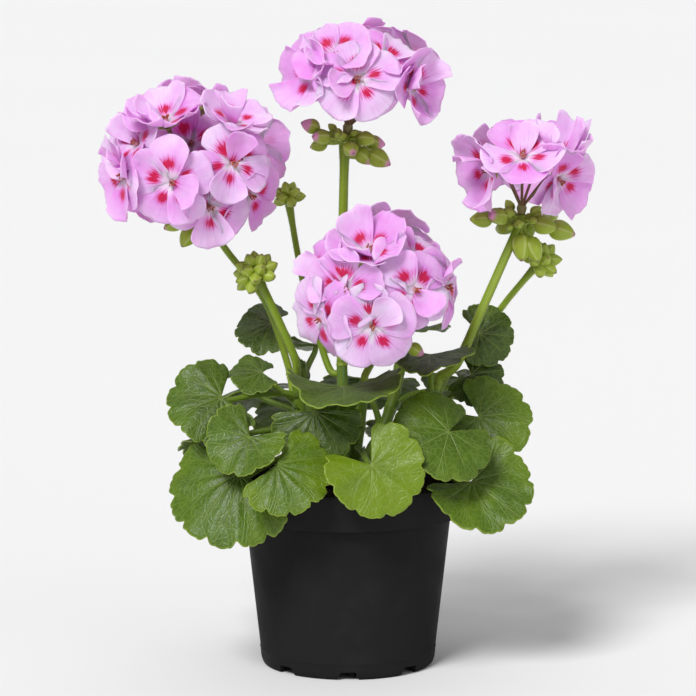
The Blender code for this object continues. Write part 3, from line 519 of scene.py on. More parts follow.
def grown(name: str, source: bpy.types.Mesh, tree: bpy.types.NodeTree,
          **values: object) -> bpy.types.Mesh:
    """Runs a Geometry Nodes tree on a mesh.

    Args:
        name: the result's name.
        source: the mesh that the tree reads.
        tree: the tree.
        **values: the tree's inputs by name.

    Returns:
        The result as a plain mesh.
    """
    holder = bpy.data.objects.new(name + "_source", source)
    modifier = holder.modifiers.new("grow", "NODES")
    modifier.node_group = tree
    for socket in tree.interface.items_tree:
        if socket.item_type == "SOCKET" and socket.in_out == "INPUT" and socket.name in values:
            modifier[socket.identifier] = values[socket.name]
    bpy.context.scene.collection.objects.link(holder)
    graph = bpy.context.evaluated_depsgraph_get()
    mesh = bpy.data.meshes.new_from_object(holder.evaluated_get(graph))
    bpy.data.objects.remove(holder, do_unlink=True)
    mesh.name = name
    return mesh


def ease_inside(mesh: bpy.types.Mesh) -> None:
    """Eases the vertices close to a side of the CAD model's box inwards, so none passes it.

    Args:
        mesh: a piece's mesh, in metres.
    """
    places = np.empty(3 * len(mesh.vertices), np.float32)
    mesh.vertices.foreach_get("co", places)
    places = places.reshape(-1, 3) / METRES_PER_MM
    corners = np.array([tuple(corner) for corner in CAD_BOX]) / METRES_PER_MM
    low, high = corners[0] + (EASE_ZONE, EASE_ZONE, 0.0), corners[1] - EASE_ZONE
    share = EASE_ZONE / (EASE_ZONE + EASE_EXCESS)
    places = np.where(places > high, high + (places - high) * share, places)
    places = np.where(places < low, low + (places - low) * share, places)
    mesh.vertices.foreach_set("co", (places * METRES_PER_MM).astype(np.float32).ravel())
    mesh.update()


def settle(name: str, mesh: bpy.types.Mesh, material: bpy.types.Material | None = None,
           replaced: tuple = ()) -> bpy.types.Object:
    """Puts a finished piece into the scene, on the root body.

    Args:
        name: the piece's name.
        mesh: its mesh, in place.
        material: its finish, if the mesh doesn't hold it yet.
        replaced: the frame's nodes that it stands for.

    Returns:
        The piece.
    """
    ease_inside(mesh)
    if material is not None:
        mesh.materials.clear()
        mesh.materials.append(material)
    piece = bpy.data.objects.new(name, mesh)
    bpy.context.scene.collection.objects.link(piece)
    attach(piece, "root")
    if replaced:
        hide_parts(*replaced)
    logging.info("%s: %d faces", name, len(mesh.polygons))
    return piece


class Finish:
    """A material being made, with a short call for each node that most finishes use.

    Its patterns read the object's own coordinates, so a scale is in repeats to a metre.
    """

    def __init__(self, name: str, inputs: dict) -> None:
        """Starts a material.

        Args:
            name: the material's name.
            inputs: the shader's constant inputs by name.
        """
        self.made = bpy.data.materials.new(name)
        self.made.use_nodes = True
        self.tree = self.made.node_tree
        self.shader = self.tree.nodes["Principled BSDF"]
        for key, value in inputs.items():
            self.shader.inputs[key].default_value = value
        self.place = self.node("TexCoord").outputs["Object"]

    def node(self, kind: str, settings: dict | None = None,
             inputs: dict | None = None) -> bpy.types.Node:
        """Adds a shader node, named without its prefix."""
        return add_node(self.tree, "ShaderNode" + kind, settings, inputs)

    def tag(self, name: str) -> bpy.types.NodeSocket:
        """The mesh's point attribute of that name."""
        return self.node("Attribute", {"attribute_name": name}).outputs["Fac"]

    def chart(self, name: str) -> tuple:
        """The two values of the UV map of that name."""
        uv = self.node("UVMap", {"uv_map": name}).outputs[0]
        return tuple(self.node("SeparateXYZ", {}, {0: uv}).outputs[:2])

    def sum(self, operation: str, *values: Source, clamp: bool = False) -> bpy.types.NodeSocket:
        """A math operation on one to three values."""
        return self.node("Math", {"operation": operation, "use_clamp": clamp},
                         dict(enumerate(values))).outputs[0]

    def joined(self, *values: Source, stretch: tuple = (1.0, 1.0, 1.0)) -> bpy.types.NodeSocket:
        """Up to three values as one vector, stretched along each of its axes."""
        vector = self.node("CombineXYZ", {}, dict(enumerate(values))).outputs[0]
        return self.node("VectorMath", {"operation": "MULTIPLY"},
                         {0: vector, 1: stretch}).outputs[0]

    def ramp(self, value: Source, start: Source, end: float, low: float = 0.0,
             high: float = 1.0, clamp: bool = True) -> bpy.types.NodeSocket:
        """A straight change from low to high, as the value goes from start to end."""
        return self.node("MapRange", {"clamp": clamp},
                         {0: value, 1: start, 2: end, 3: low, 4: high}).outputs[0]

    def step(self, value: Source, start: Source, end: float, low: float = 0.0,
             high: float = 1.0) -> bpy.types.NodeSocket:
        """A soft change from low to high, as the value goes from start to end."""
        return self.node("MapRange", {"interpolation_type": "SMOOTHSTEP"},
                         {0: value, 1: start, 2: end, 3: low, 4: high}).outputs[0]

    def noise(self, scale: float, detail: float = 2.0, output: int | str = 0,
              **inputs: object) -> bpy.types.NodeSocket:
        """Cloudy noise at the object's coordinates, or at the Vector given."""
        return self.node("TexNoise", {}, {"Vector": self.place, "Scale": scale, "Detail": detail,
                                          **inputs}).outputs[output]

    def blend(self, share: Source, first: Source | str, second: Source | str,
              kind: str = "MIX") -> bpy.types.NodeSocket:
        """A mix of two colours, each given as a hex value or as a socket."""
        first, second = (linear(c) if isinstance(c, str) else c for c in (first, second))
        return self.node("Mix", {"data_type": "RGBA", "blend_type": kind},
                         {0: share, 6: first, 7: second}).outputs[2]

    def finished(self, colour: bpy.types.NodeSocket, height: bpy.types.NodeSocket | None = None,
                 strength: float = 0.0, depth_mm: float = 0.0) -> bpy.types.Material:
        """Links the colour, and a bump of that height, and returns the material."""
        self.tree.links.new(colour, self.shader.inputs["Base Color"])
        if height is not None:
            bump = self.node("Bump", {}, {"Strength": strength, "Height": height,
                                          "Distance": depth_mm * METRES_PER_MM})
            self.tree.links.new(bump.outputs[0], self.shader.inputs["Normal"])
        return self.made


@dataclass(frozen=True)
class PotPlastic:
    """Polypropylene, injection moulded: near black, matte, with the mould's fine grain.

    Its colour holds a painted sheen and painted shade: lighter grey where the surface faces the
    camera, painted near black towards its sides as it turns away.
    """
    body: str = "#202020"
    worn: str = "#2C2C2C"
    # Painted shade: the near black that the pot's sides are painted towards
    side: str = "#040404"
    grain_mm: float = 0.45
    scuff_mm: float = 14.0

    def material(self) -> bpy.types.Material:
        """Makes the finish."""
        finish = Finish("moulded_polypropylene", {"Specular IOR Level": 0.05})
        cloud = finish.noise(1000.0 / self.scuff_mm, 5.0)
        colour = finish.blend(finish.step(cloud, 0.45, 0.8, 0.0, 0.35), self.body, self.worn)
        # Painted sheen and shade: the grey middle is painted over to near black as the surface
        # turns away from the camera
        facing = finish.node("LayerWeight", {}, {"Blend": 0.4}).outputs["Facing"]
        colour = finish.blend(finish.step(facing, 0.15, 0.85, 0.0, 0.9), colour, self.side)
        rough = finish.ramp(cloud, 0.3, 0.7, 0.46, 0.6)
        finish.tree.links.new(rough, finish.shader.inputs["Roughness"])
        return finish.finished(colour, finish.noise(1000.0 / self.grain_mm), 0.25, 0.2)


@dataclass(frozen=True)
class Peat:
    """Milled peat, damp: dark brown crumbs with paler fibres, and no shine."""
    dark: str = "#15100B"
    brown: str = "#3A2A1D"
    fibre: str = "#6A5238"
    crumb_mm: float = 2.4
    threads_to_metre: float = 420.0

    def material(self) -> bpy.types.Material:
        """Makes the finish."""
        finish = Finish("milled_peat", {"Roughness": 0.95, "Specular IOR Level": 0.2})
        crumbs = finish.noise(1000.0 / self.crumb_mm, 6.0, Roughness=0.7)
        threads = finish.noise(self.threads_to_metre, Distortion=3.0)
        base = finish.blend(crumbs, self.dark, self.brown)
        colour = finish.blend(finish.step(threads, 0.64, 0.72, 0.0, 0.6), base, self.fibre)
        return finish.finished(colour, crumbs, 0.8, 0.8)


@dataclass(frozen=True)
class Stem:
    """Green stem tissue with its skin on: soft sheen, fine lengthwise streaks, and a flush.

    The tone attribute runs from the first colour at 0 to the second at 1.
    """
    name: str
    young: str
    flushed: str
    streak: str
    streaks_round: float = 9.0
    blotches_to_metre: float = 140.0

    def material(self) -> bpy.types.Material:
        """Makes the finish."""
        finish = Finish(self.name, {
            "Roughness": 0.48, "Specular IOR Level": 0.4, "Subsurface Weight": 0.15,
            "Subsurface Radius": (0.8, 1.0, 0.3), "Subsurface Scale": 0.001})
        tone = finish.tag("tone")
        along_skin = finish.joined(finish.tag("around"), finish.tag("along"), tone,
                                   stretch=(self.streaks_round, 1.5, 3.0))
        lines = finish.noise(1.0, 3.0, Vector=along_skin)
        blotches = finish.noise(self.blotches_to_metre, 3.0)
        flush = finish.sum("ADD", tone, finish.sum("MULTIPLY_ADD", blotches, 0.5, -0.25),
                           clamp=True)
        base = finish.blend(flush, self.young, self.flushed)
        colour = finish.blend(finish.step(lines, 0.42, 0.75, 0.0, 0.5), base, self.streak)
        return finish.finished(colour, lines, 0.35, 0.3)


@dataclass(frozen=True)
class LeafTissue:
    """A zonal geranium's blade: velvety green, pale sunken veins, and a yellow-green rim.

    The map holds the angle in lobes and the share of the way out, so that a vein lies on each
    whole number. The arc attribute is the arc of one lobe at the rim, in millimetres.
    """
    deep: str = "#213600"
    fresh: str = "#486408"
    yellow: str = "#688206"
    vein: str = "#90A54E"
    rim: str = "#93A83A"
    underside: str = "#60762B"
    vein_mm: float = 0.65
    branch_mm: float = 0.38
    net_mm: float = 3.4
    hair_mm: float = 0.35
    clouds_to_metre: float = 62.0

    def veins(self, finish: Finish, turn: bpy.types.NodeSocket,
              out: bpy.types.NodeSocket) -> bpy.types.NodeSocket:
        """How much of each place is vein: a lobe's main vein, its branches and a fine net."""
        off = finish.sum("PINGPONG", turn, 0.5)
        scale = finish.sum("MULTIPLY", finish.tag("arc"), out)
        width = finish.ramp(out, 0.0, 1.0, self.vein_mm, self.vein_mm * 0.3)
        drawn = finish.step(finish.sum("MULTIPLY", off, scale), width, 0.0)
        for start, reach in ((0.30, 0.40), (0.56, 0.27)):
            lean = finish.ramp(out, start, 1.0, 0.0, reach, clamp=False)
            apart = finish.sum("ABSOLUTE", finish.sum("SUBTRACT", off, lean))
            line = finish.step(finish.sum("MULTIPLY", apart, scale), self.branch_mm, 0.0,
                               0.0, 0.45)
            past = finish.step(out, start - 0.02, start + 0.06)
            drawn = finish.sum("MAXIMUM", drawn, finish.sum("MULTIPLY", line, past))
        net = finish.node("TexVoronoi", {"feature": "DISTANCE_TO_EDGE"}, {
            "Vector": finish.place, "Scale": 1000.0 / self.net_mm}).outputs[0]
        return finish.sum("MAXIMUM", drawn, finish.step(net, 0.14, 0.0, 0.0, 0.32))

    def material(self) -> bpy.types.Material:
        """Makes the finish."""
        finish = Finish("velvety_leaf_blade", {
            "Roughness": 0.36, "Specular IOR Level": 0.4, "Subsurface Weight": 0.08,
            "Subsurface Radius": (0.6, 1.0, 0.1), "Subsurface Scale": 0.0012})
        turn, out = finish.chart(LEAF_MAP)
        veins = self.veins(finish, turn, out)
        drift = finish.ramp(finish.noise(self.clouds_to_metre, 4.0), 0.3, 0.7, -0.16, 0.16)
        shade = finish.sum("ADD", drift, finish.ramp(out, 0.1, 1.0, -0.08, 0.16))
        mixed = finish.sum("ADD", finish.tag("tone"), shade, clamp=True)
        green = finish.blend(finish.ramp(mixed, 0.0, 0.6), self.deep, self.fresh)
        body = finish.blend(finish.ramp(mixed, 0.6, 1.0), green, self.yellow)
        under = finish.sum("MULTIPLY", finish.tag("back"), 0.55)
        sided = finish.blend(under, body, self.underside)
        veined = finish.blend(finish.sum("MULTIPLY", veins, 0.45), sided, self.vein)
        colour = finish.blend(finish.step(out, 0.97, 0.998, 0.0, 0.6), veined, self.rim)
        felt = finish.sum("MULTIPLY", finish.noise(1000.0 / self.hair_mm, 1.0), 0.35)
        return finish.finished(colour, finish.sum("SUBTRACT", felt, veins), 0.55, 0.5)


@dataclass(frozen=True)
class PetalTissue:
    """A petal: thin and silky, lilac-pink, paler where it arches, with a crimson flare in a magenta
    halo that is partly real feathering and partly painted shade.

    The map holds the distance from the petal's middle line and the share of the way out, both
    in petal lengths. The mark attribute widens the flare, as on a floret's upper petals.
    """
    pale: str = "#F3CDF8"
    pink: str = "#E286DC"
    throat: str = "#F8D6F3"
    vein: str = "#B868BE"
    flare: str = "#C40F4A"
    # Halo colour round the flare: real feathering and painted shade in one
    feather_and_painted_shade: str = "#D5459C"
    reverse: str = "#E4B2E4"
    clouds_to_metre: float = 90.0

    @staticmethod
    def flare_edge(finish: Finish, across: bpy.types.NodeSocket, out: bpy.types.NodeSocket,
                   rays: bpy.types.NodeSocket) -> bpy.types.NodeSocket:
        """How far a place is from the flare's middle, about 1 at its ragged edge."""
        mark = finish.tag("mark")
        wide, tall, middle = (finish.sum("MULTIPLY_ADD", mark, share, least) for share, least
                              in ((0.14, 0.09), (0.05, 0.115), (-0.03, 0.40)))
        rise = finish.sum("DIVIDE", finish.sum("SUBTRACT", out, middle), tall)
        pair = finish.joined(finish.sum("DIVIDE", across, wide), rise)
        far = finish.node("VectorMath", {"operation": "LENGTH"}, {0: pair}).outputs["Value"]
        return finish.sum("ADD", far, finish.ramp(rays, 0.3, 0.7, 0.55, -0.55, clamp=False))

    def material(self) -> bpy.types.Material:
        """Makes the finish."""
        finish = Finish("silky_petal", {
            "Roughness": 0.55, "Specular IOR Level": 0.25, "Sheen Weight": 0.1,
            "Subsurface Weight": 0.6, "Subsurface Radius": (1.3, 0.6, 0.95),
            "Subsurface Scale": 0.0012})
        across, out = finish.chart(PETAL_MAP)
        tint, back = finish.tag("tint"), finish.tag("back")
        fan = finish.sum("DIVIDE", across, finish.sum("ADD", out, 0.08))
        ray_place = finish.joined(fan, out, tint, stretch=(22.0, 1.6, 31.0))
        rays = finish.noise(1.0, Vector=ray_place, Roughness=0.6)
        edge = self.flare_edge(finish, across, out, rays)
        drift = finish.ramp(finish.noise(self.clouds_to_metre, 3.0), 0.3, 0.7, -0.15, 0.35)
        toned = finish.sum("ADD", finish.ramp(out, 0.25, 1.0, 0.25, -0.15), drift)
        varied = finish.sum("MULTIPLY_ADD", tint, 0.65, toned, clamp=True)
        base = finish.blend(varied, self.pale, self.pink)
        sided = finish.blend(finish.sum("MULTIPLY", back, 0.5), base, self.reverse)
        lines = finish.sum("MULTIPLY", finish.step(rays, 0.52, 0.68, 0.0, 0.3),
                           finish.ramp(out, 0.3, 1.0, 1.0, 0.35))
        veined = finish.blend(lines, sided, self.vein)
        white_reach = finish.sum("MULTIPLY_ADD", rays, 0.5, out)
        colour = finish.blend(finish.step(white_reach, 0.56, 0.40, 0.0, 0.85), veined,
                              self.throat)
        # Magenta halo round the flare: partly its real feathering, partly painted shade, widened
        # out to nearly twice the flare's size
        colour = finish.blend(finish.step(edge, 1.95, 0.95, 0.0, 0.65), colour, self.feather_and_painted_shade)
        colour = finish.blend(finish.step(edge, 1.05, 0.75), colour, self.flare)
        colour = finish.blend(finish.sum("MULTIPLY", back, 0.8), colour, veined)
        return finish.finished(colour, rays, 0.25, 0.3)


@dataclass(frozen=True)
class BudSkin:
    """A bud's sepals: lime or olive green with pale ribs, and pink where the petals show.

    The along attribute runs from the bud's foot to its tip, and tone says how ripe it is.
    """
    lime: str = "#AEC436"
    olive: str = "#8A9C32"
    rib: str = "#C9D383"
    tip: str = "#E59BC4"
    brown: str = "#6B4A3C"
    clouds_to_metre: float = 260.0

    def material(self) -> bpy.types.Material:
        """Makes the finish."""
        finish = Finish("downy_bud_skin", {
            "Roughness": 0.5, "Subsurface Weight": 0.12, "Subsurface Radius": (0.8, 1.0, 0.3),
            "Subsurface Scale": 0.001})
        along = finish.tag("along")
        base = finish.blend(finish.noise(self.clouds_to_metre, 3.0), self.lime, self.olive)
        off = finish.sum("PINGPONG", finish.sum("MULTIPLY", finish.tag("around"), 5.0), 0.5)
        rib = finish.step(off, 0.2, 0.0, 0.0, 0.55)
        ribbed = finish.blend(rib, base, self.rib)
        start = finish.ramp(finish.tag("tone"), 0.0, 1.0, 1.1, 0.45)
        pink = finish.step(finish.sum("SUBTRACT", along, start), 0.0, 0.22)
        blushed = finish.blend(pink, ribbed, self.tip)
        colour = finish.blend(finish.step(along, 0.9, 1.0, 0.0, 0.6), blushed, self.brown)
        return finish.finished(colour, rib, 0.4, 0.4)


@dataclass(frozen=True)
class Stamens:
    """Pale filaments with orange-red anthers, told apart by the tone attribute."""
    filament: str = "#EDB7B4"
    anther: str = "#B9572F"
    grains_to_metre: float = 1500.0

    def material(self) -> bpy.types.Material:
        """Makes the finish."""
        finish = Finish("stamen", {"Roughness": 0.55})
        dust = finish.noise(self.grains_to_metre, 1.0, "Color")
        base = finish.blend(finish.tag("tone"), self.filament, self.anther)
        return finish.finished(finish.blend(0.35, base, dust, "MULTIPLY"))


@dataclass(frozen=True)
class Down:
    """The plant's fine hairs, clear and pale, drawn thicker than life so that they show."""
    colour: str = "#E3E8C4"
    clouds_to_metre: float = 300.0

    def material(self) -> bpy.types.Material:
        """Makes the finish."""
        finish = Finish("plant_hair", {"Roughness": 0.4})
        cloud = finish.noise(self.clouds_to_metre, output="Color")
        return finish.finished(finish.blend(0.3, self.colour, cloud, "MULTIPLY"))


@dataclass(frozen=True)
class Wardrobe:
    """Every finish, tree and template, made once and shared by the pieces.

    The templates aren't linked to the scene: the trees copy them.
    """
    plastic: bpy.types.Material
    peat: bpy.types.Material
    bark: bpy.types.Material
    shoot: bpy.types.Material
    stalk: bpy.types.Material
    pedicel: bpy.types.Material
    leaf: bpy.types.Material
    petal: bpy.types.Material
    bud: bpy.types.Material
    stamen: bpy.types.Material
    down: bpy.types.Material
    tubes: bpy.types.NodeTree
    set_out: bpy.types.NodeTree
    scatter: bpy.types.NodeTree
    hair: bpy.types.Object
    crumb: bpy.types.Object
    stamen_shape: bpy.types.Object

    @classmethod
    def made(cls) -> "Wardrobe":
        """Makes every finish, tree and template."""
        return cls(
            plastic=PotPlastic().material(),
            peat=Peat().material(),
            bark=Stem("ripening_stem_bark", "#7C8440", "#6B5B3A", "#A09A6B", 14.0).material(),
            shoot=Stem("leafy_stem_skin", "#67821A", "#4C6C10", "#869B38").material(),
            stalk=Stem("flower_stalk_skin", "#749013", "#8A9A2C", "#A9B748").material(),
            pedicel=Stem("pedicel_skin", "#7D8046", "#6A4638", "#95705A").material(),
            leaf=LeafTissue().material(),
            petal=PetalTissue().material(),
            bud=BudSkin().material(),
            stamen=Stamens().material(),
            down=Down().material(),
            tubes=path_tree(),
            set_out=set_out_tree(),
            scatter=scatter_tree(),
            hair=bpy.data.objects.new("hair_template", cls.hair_mesh()),
            crumb=bpy.data.objects.new("crumb_template", cls.crumb_mesh()),
            stamen_shape=bpy.data.objects.new("stamen_template", cls.stamen_mesh()),
        )

    @staticmethod
    def hair_mesh() -> bpy.types.Mesh:
        """One hair: a three-sided spike 1 mm long that stands on the origin."""
        pile = MeshPile()
        points = np.array([(0.0, 0.0, -0.1), (0.0, 0.0, 0.5), (0.06, 0.0, 1.0)])
        pile.add_loft(points, np.array([0.045, 0.03, 0.008]), 3)
        return pile.to_mesh("hair")

    @staticmethod
    def crumb_mesh() -> bpy.types.Mesh:
        """One crumb of peat: a lumpy ball about 2 mm across."""
        shape = bmesh.new()
        bmesh.ops.create_icosphere(shape, subdivisions=1, radius=METRES_PER_MM)
        for index, vert in enumerate(shape.verts):
            vert.co *= 0.82 + 0.3 * math.sin(7.3 * index) ** 2
        mesh = bpy.data.meshes.new("crumb")
        shape.to_mesh(mesh)
        shape.free()
        return mesh

    @staticmethod
    def stamen_mesh() -> bpy.types.Mesh:
        """One stamen 6 mm long: a bent filament that stands on the origin, and its anther."""
        pile = MeshPile()
        filament = np.array([(0.0, 0.0, 0.0), (0.1, 0.0, 2.2), (0.5, 0.0, 4.6)])
        pile.add_loft(filament, np.array([0.42, 0.34, 0.24]), 4, tone=0.0)
        anther = np.array([(0.3, 0.0, 4.1), (0.45, 0.0, 4.6), (0.75, 0.0, 5.5), (0.9, 0.0, 6.0)])
        pile.add_loft(anther, np.array([0.2, 0.48, 0.45, 0.15]), 5, tone=1.0)
        return pile.to_mesh("stamen")

    def tubed(self, name: str, strands: Strands, sides: int,
              material: bpy.types.Material) -> bpy.types.Mesh:
        """The strands as tubes with that finish."""
        return grown(name, strands.to_mesh(name), self.tubes, Sides=sides, Material=material)

    def haired(self, name: str, mesh: bpy.types.Mesh, density: float, seed: int,
               length: tuple = (0.5, 0.9)) -> None:
        """Stands hairs on a mesh, as a piece of their own.

        Args:
            name: the piece's name.
            mesh: what the hairs stand on.
            density: hairs in a square millimetre.
            seed: the draw's seed.
            length: the shortest and longest hair, in millimetres.
        """
        down = grown(name, mesh.copy(), self.scatter, Template=self.hair, Seed=seed,
                     Density=density / METRES_PER_MM ** 2, Smallest=length[0],
                     Largest=length[1], Lean=HAIR_LEAN, Material=self.down)
        settle(name, down)


@dataclass(frozen=True)
class Studio:
    """Pale floor, soft light, and the camera at the photograph's viewing angle."""
    target: tuple = (0.0, 0.0, 0.157)
    distance: float = 1.6
    elevation: float = 8.0
    lens: float = 168.4
    floor_reach: float = 40.0

    # Name, strength, width in degrees, and azimuth and height in degrees
    LIGHTS = (("key", 2.62, 21.0, (-28.0, 44.0)), ("fill", 0.35, 50.0, (45.0, 15.0)),
              ("top", 0.3, 60.0, (170.0, 62.0)))
    SKY = 0.33

    def build(self) -> None:
        """Makes the floor, the lights, the world and the camera."""
        self.build_floor()
        for light in self.LIGHTS:
            self.build_light(*light)
        self.build_world()
        self.build_camera()

    def build_floor(self) -> None:
        """A wide plane with a matte, faintly mottled paint."""
        reach = self.floor_reach
        mesh = bpy.data.meshes.new("floor")
        mesh.from_pydata([(-reach, -reach, 0.0), (reach, -reach, 0.0), (reach, reach, 0.0),
                          (-reach, reach, 0.0)], [], [(0, 1, 2, 3)])
        paint = Finish("floor_paint", {"Roughness": 0.9, "Specular IOR Level": 0.1})
        mesh.materials.append(paint.finished(paint.blend(paint.noise(0.7), "#F4F4F4", "#F7F7F7")))
        floor = bpy.data.objects.new("floor", mesh)
        bpy.context.scene.collection.objects.link(floor)

    @staticmethod
    def build_light(name: str, strength: float, softness: float, place: tuple) -> None:
        """Adds one broad, distant light.

        Args:
            name: the light's name.
            strength: its strength.
            softness: how wide it looks, in degrees.
            place: its azimuth from the front, to the right, and its height, in degrees.
        """
        lamp = bpy.data.lights.new(name, "SUN")
        lamp.energy = strength
        lamp.angle = math.radians(softness)
        light = bpy.data.objects.new(name, lamp)
        azimuth, height = (math.radians(value) for value in place)
        towards = Vector((math.sin(azimuth) * math.cos(height),
                          -math.cos(azimuth) * math.cos(height), math.sin(height)))
        light.rotation_mode = "QUATERNION"
        light.rotation_quaternion = towards.to_track_quat("Z", "Y")
        bpy.context.scene.collection.objects.link(light)

    def build_world(self) -> None:
        """An even, nearly white sky."""
        world = bpy.data.worlds.new("studio")
        world.use_nodes = True
        ground = world.node_tree.nodes["Background"]
        ground.inputs["Color"].default_value = linear("#FBFBFD")
        ground.inputs["Strength"].default_value = self.SKY
        bpy.context.scene.world = world

    def build_camera(self) -> None:
        """The camera, and plain tone mapping that keeps the petals' and leaves' colours."""
        lens = bpy.data.cameras.new("camera")
        lens.lens = self.lens
        camera = bpy.data.objects.new("camera", lens)
        lift = math.radians(self.elevation)
        back = Vector((0.0, -math.cos(lift), math.sin(lift)))
        camera.location = Vector(self.target) + back * self.distance
        camera.rotation_mode = "QUATERNION"
        camera.rotation_quaternion = back.to_track_quat("Z", "Y")
        bpy.context.scene.collection.objects.link(camera)
        bpy.context.scene.camera = camera
        bpy.context.scene.view_settings.view_transform = "Standard"


@dataclass(frozen=True)
class Pot:
    """The nursery pot: a tapered body, a rim band, a raised floor and a notched foot ring."""
    sides: int = 192
    height: float = 94.0
    rim_radius: float = 60.0
    band_foot_radius: float = 56.8
    band_foot_height: float = 75.5
    body_top_radius: float = 51.0
    body_foot_radius: float = 43.5
    body_foot_height: float = 8.2
    foot_radius: float = 41.6
    foot_inner_radius: float = 39.4
    wall: float = 1.3
    floor_underside: float = 4.5
    floor_top: float = 5.8
    notches: int = 8

    NOTCH = ((-6.2, -1.0), (-5.0, 0.7), (-4.2, 2.4), (-3.9, 4.1), (3.9, 4.1), (4.2, 2.4),
             (5.0, 0.7), (6.2, -1.0))
    DRAIN_SIZE = (9.0, 4.5, 4.0)
    DRAIN_RADIUS = 30.0
    SHARP_ANGLE = 32.0

    def inner_radius(self, height: float) -> float:
        """The inner radius at a height."""
        if height < self.band_foot_height:
            share = (height - self.body_foot_height) / (self.band_foot_height
                                                        - self.body_foot_height)
            outer = self.body_foot_radius + (self.body_top_radius - self.body_foot_radius) * share
        else:
            share = (height - self.band_foot_height) / (self.height - self.band_foot_height)
            outer = self.band_foot_radius + (self.rim_radius - self.band_foot_radius) * share
        return outer - self.wall

    def profile(self) -> list[tuple[float, float]]:
        """Radius and height of each point, from the floor's underside round to its top."""
        foot_turn = [(self.foot_radius + 1.9 * math.sin(math.radians(a)),
                      7.2 - 7.2 * math.cos(math.radians(a)) + 0.35) for a in (24, 48, 68, 90)]
        lip = [(self.rim_radius - 1.0 + 1.0 * math.cos(math.radians(a)),
                self.height - 1.0 + 1.0 * math.sin(math.radians(a))) for a in range(0, 91, 15)]
        step = self.band_foot_height
        return [
            (0.0, self.floor_underside), (self.foot_inner_radius, self.floor_underside),
            (self.foot_inner_radius, 0.3), (self.foot_inner_radius + 0.3, 0.0),
            (self.foot_radius - 0.4, 0.0), (self.foot_radius, 0.35), *foot_turn,
            (self.body_foot_radius + 0.25, self.body_foot_height),
            (self.body_foot_radius + 0.05, self.body_foot_height + 0.6),
            (self.body_top_radius - 0.6, step - 5.0), (self.body_top_radius, step - 0.5),
            (self.body_top_radius + 0.5, step), (self.band_foot_radius - 0.9, step),
            (self.band_foot_radius - 0.25, step + 0.3), (self.band_foot_radius, step + 1.0),
            (self.rim_radius - 0.25, self.height - 3.0), *lip,
            (self.inner_radius(self.height) + 0.5, self.height),
            (self.inner_radius(self.height), self.height - 0.5),
            (self.inner_radius(step + 2.6), step + 2.6),
            (self.inner_radius(step - 0.01), step + 1.3),
            (self.inner_radius(self.floor_top), self.floor_top), (0.0, self.floor_top),
        ]

    def turned(self) -> bpy.types.Object:
        """The pot's wall and floor, turned round Z, before its notches are cut."""
        shape = bmesh.new()
        verts = [shape.verts.new((radius, 0.0, height)) for radius, height in self.profile()]
        edges = [shape.edges.new(pair) for pair in zip(verts, verts[1:])]
        bmesh.ops.spin(shape, geom=verts + edges, cent=(0.0, 0.0, 0.0), axis=(0.0, 0.0, 1.0),
                       angle=2.0 * math.pi, steps=self.sides, use_duplicate=False)
        bmesh.ops.remove_doubles(shape, verts=shape.verts, dist=0.001)
        return self.placed("pot_wall", shape)

    @staticmethod
    def placed(name: str, shape: bmesh.types.BMesh) -> bpy.types.Object:
        """Puts a bmesh drawn in millimetres into the scene, faces out."""
        bmesh.ops.scale(shape, vec=Vector((1.0, 1.0, 1.0)) * METRES_PER_MM, verts=shape.verts)
        bmesh.ops.recalc_face_normals(shape, faces=shape.faces)
        mesh = bpy.data.meshes.new(name)
        shape.to_mesh(mesh)
        shape.free()
        thing = bpy.data.objects.new(name, mesh)
        bpy.context.scene.collection.objects.link(thing)
        return thing

    def cutters(self) -> bpy.types.Object:
        """The notches with their flared sides and the drain slots, as one body each."""
        shape = bmesh.new()
        for index in range(self.notches):
            turn = Matrix.Rotation(2.0 * math.pi * index / self.notches - math.pi / 2.0, 4, "Z")
            ends = []
            for radius in (self.foot_inner_radius - 3.0, self.foot_radius + 3.0):
                ends.append([shape.verts.new(turn @ Vector((radius, across, height)))
                             for across, height in self.NOTCH])
            count = len(self.NOTCH)
            for step in range(count):
                following = (step + 1) % count
                shape.faces.new((ends[0][step], ends[0][following], ends[1][following],
                                 ends[1][step]))
            shape.faces.new(ends[1])
            shape.faces.new(list(reversed(ends[0])))
            slot = bmesh.ops.create_cube(shape, size=1.0)["verts"]
            bmesh.ops.scale(shape, vec=self.DRAIN_SIZE, verts=slot)
            bmesh.ops.translate(shape, vec=(self.DRAIN_RADIUS, 0.0, self.floor_top - 0.5),
                                verts=slot)
            bmesh.ops.transform(shape, matrix=turn, verts=slot)
        return self.placed("pot_cutters", shape)

    def build(self, wardrobe: Wardrobe) -> None:
        """Builds the pot and dresses it."""
        wall = self.turned()
        cutters = self.cutters()
        cut = wall.modifiers.new("cut", "BOOLEAN")
        cut.operation = "DIFFERENCE"
        cut.object = cutters
        cut.solver = "EXACT"
        graph = bpy.context.evaluated_depsgraph_get()
        mesh = bpy.data.meshes.new_from_object(wall.evaluated_get(graph))
        bpy.data.objects.remove(cutters, do_unlink=True)
        bpy.data.objects.remove(wall, do_unlink=True)
        mesh.shade_smooth()
        mesh.set_sharp_from_angle(angle=math.radians(self.SHARP_ANGLE))
        settle("nursery_pot", mesh, wardrobe.plastic, ("pot",))


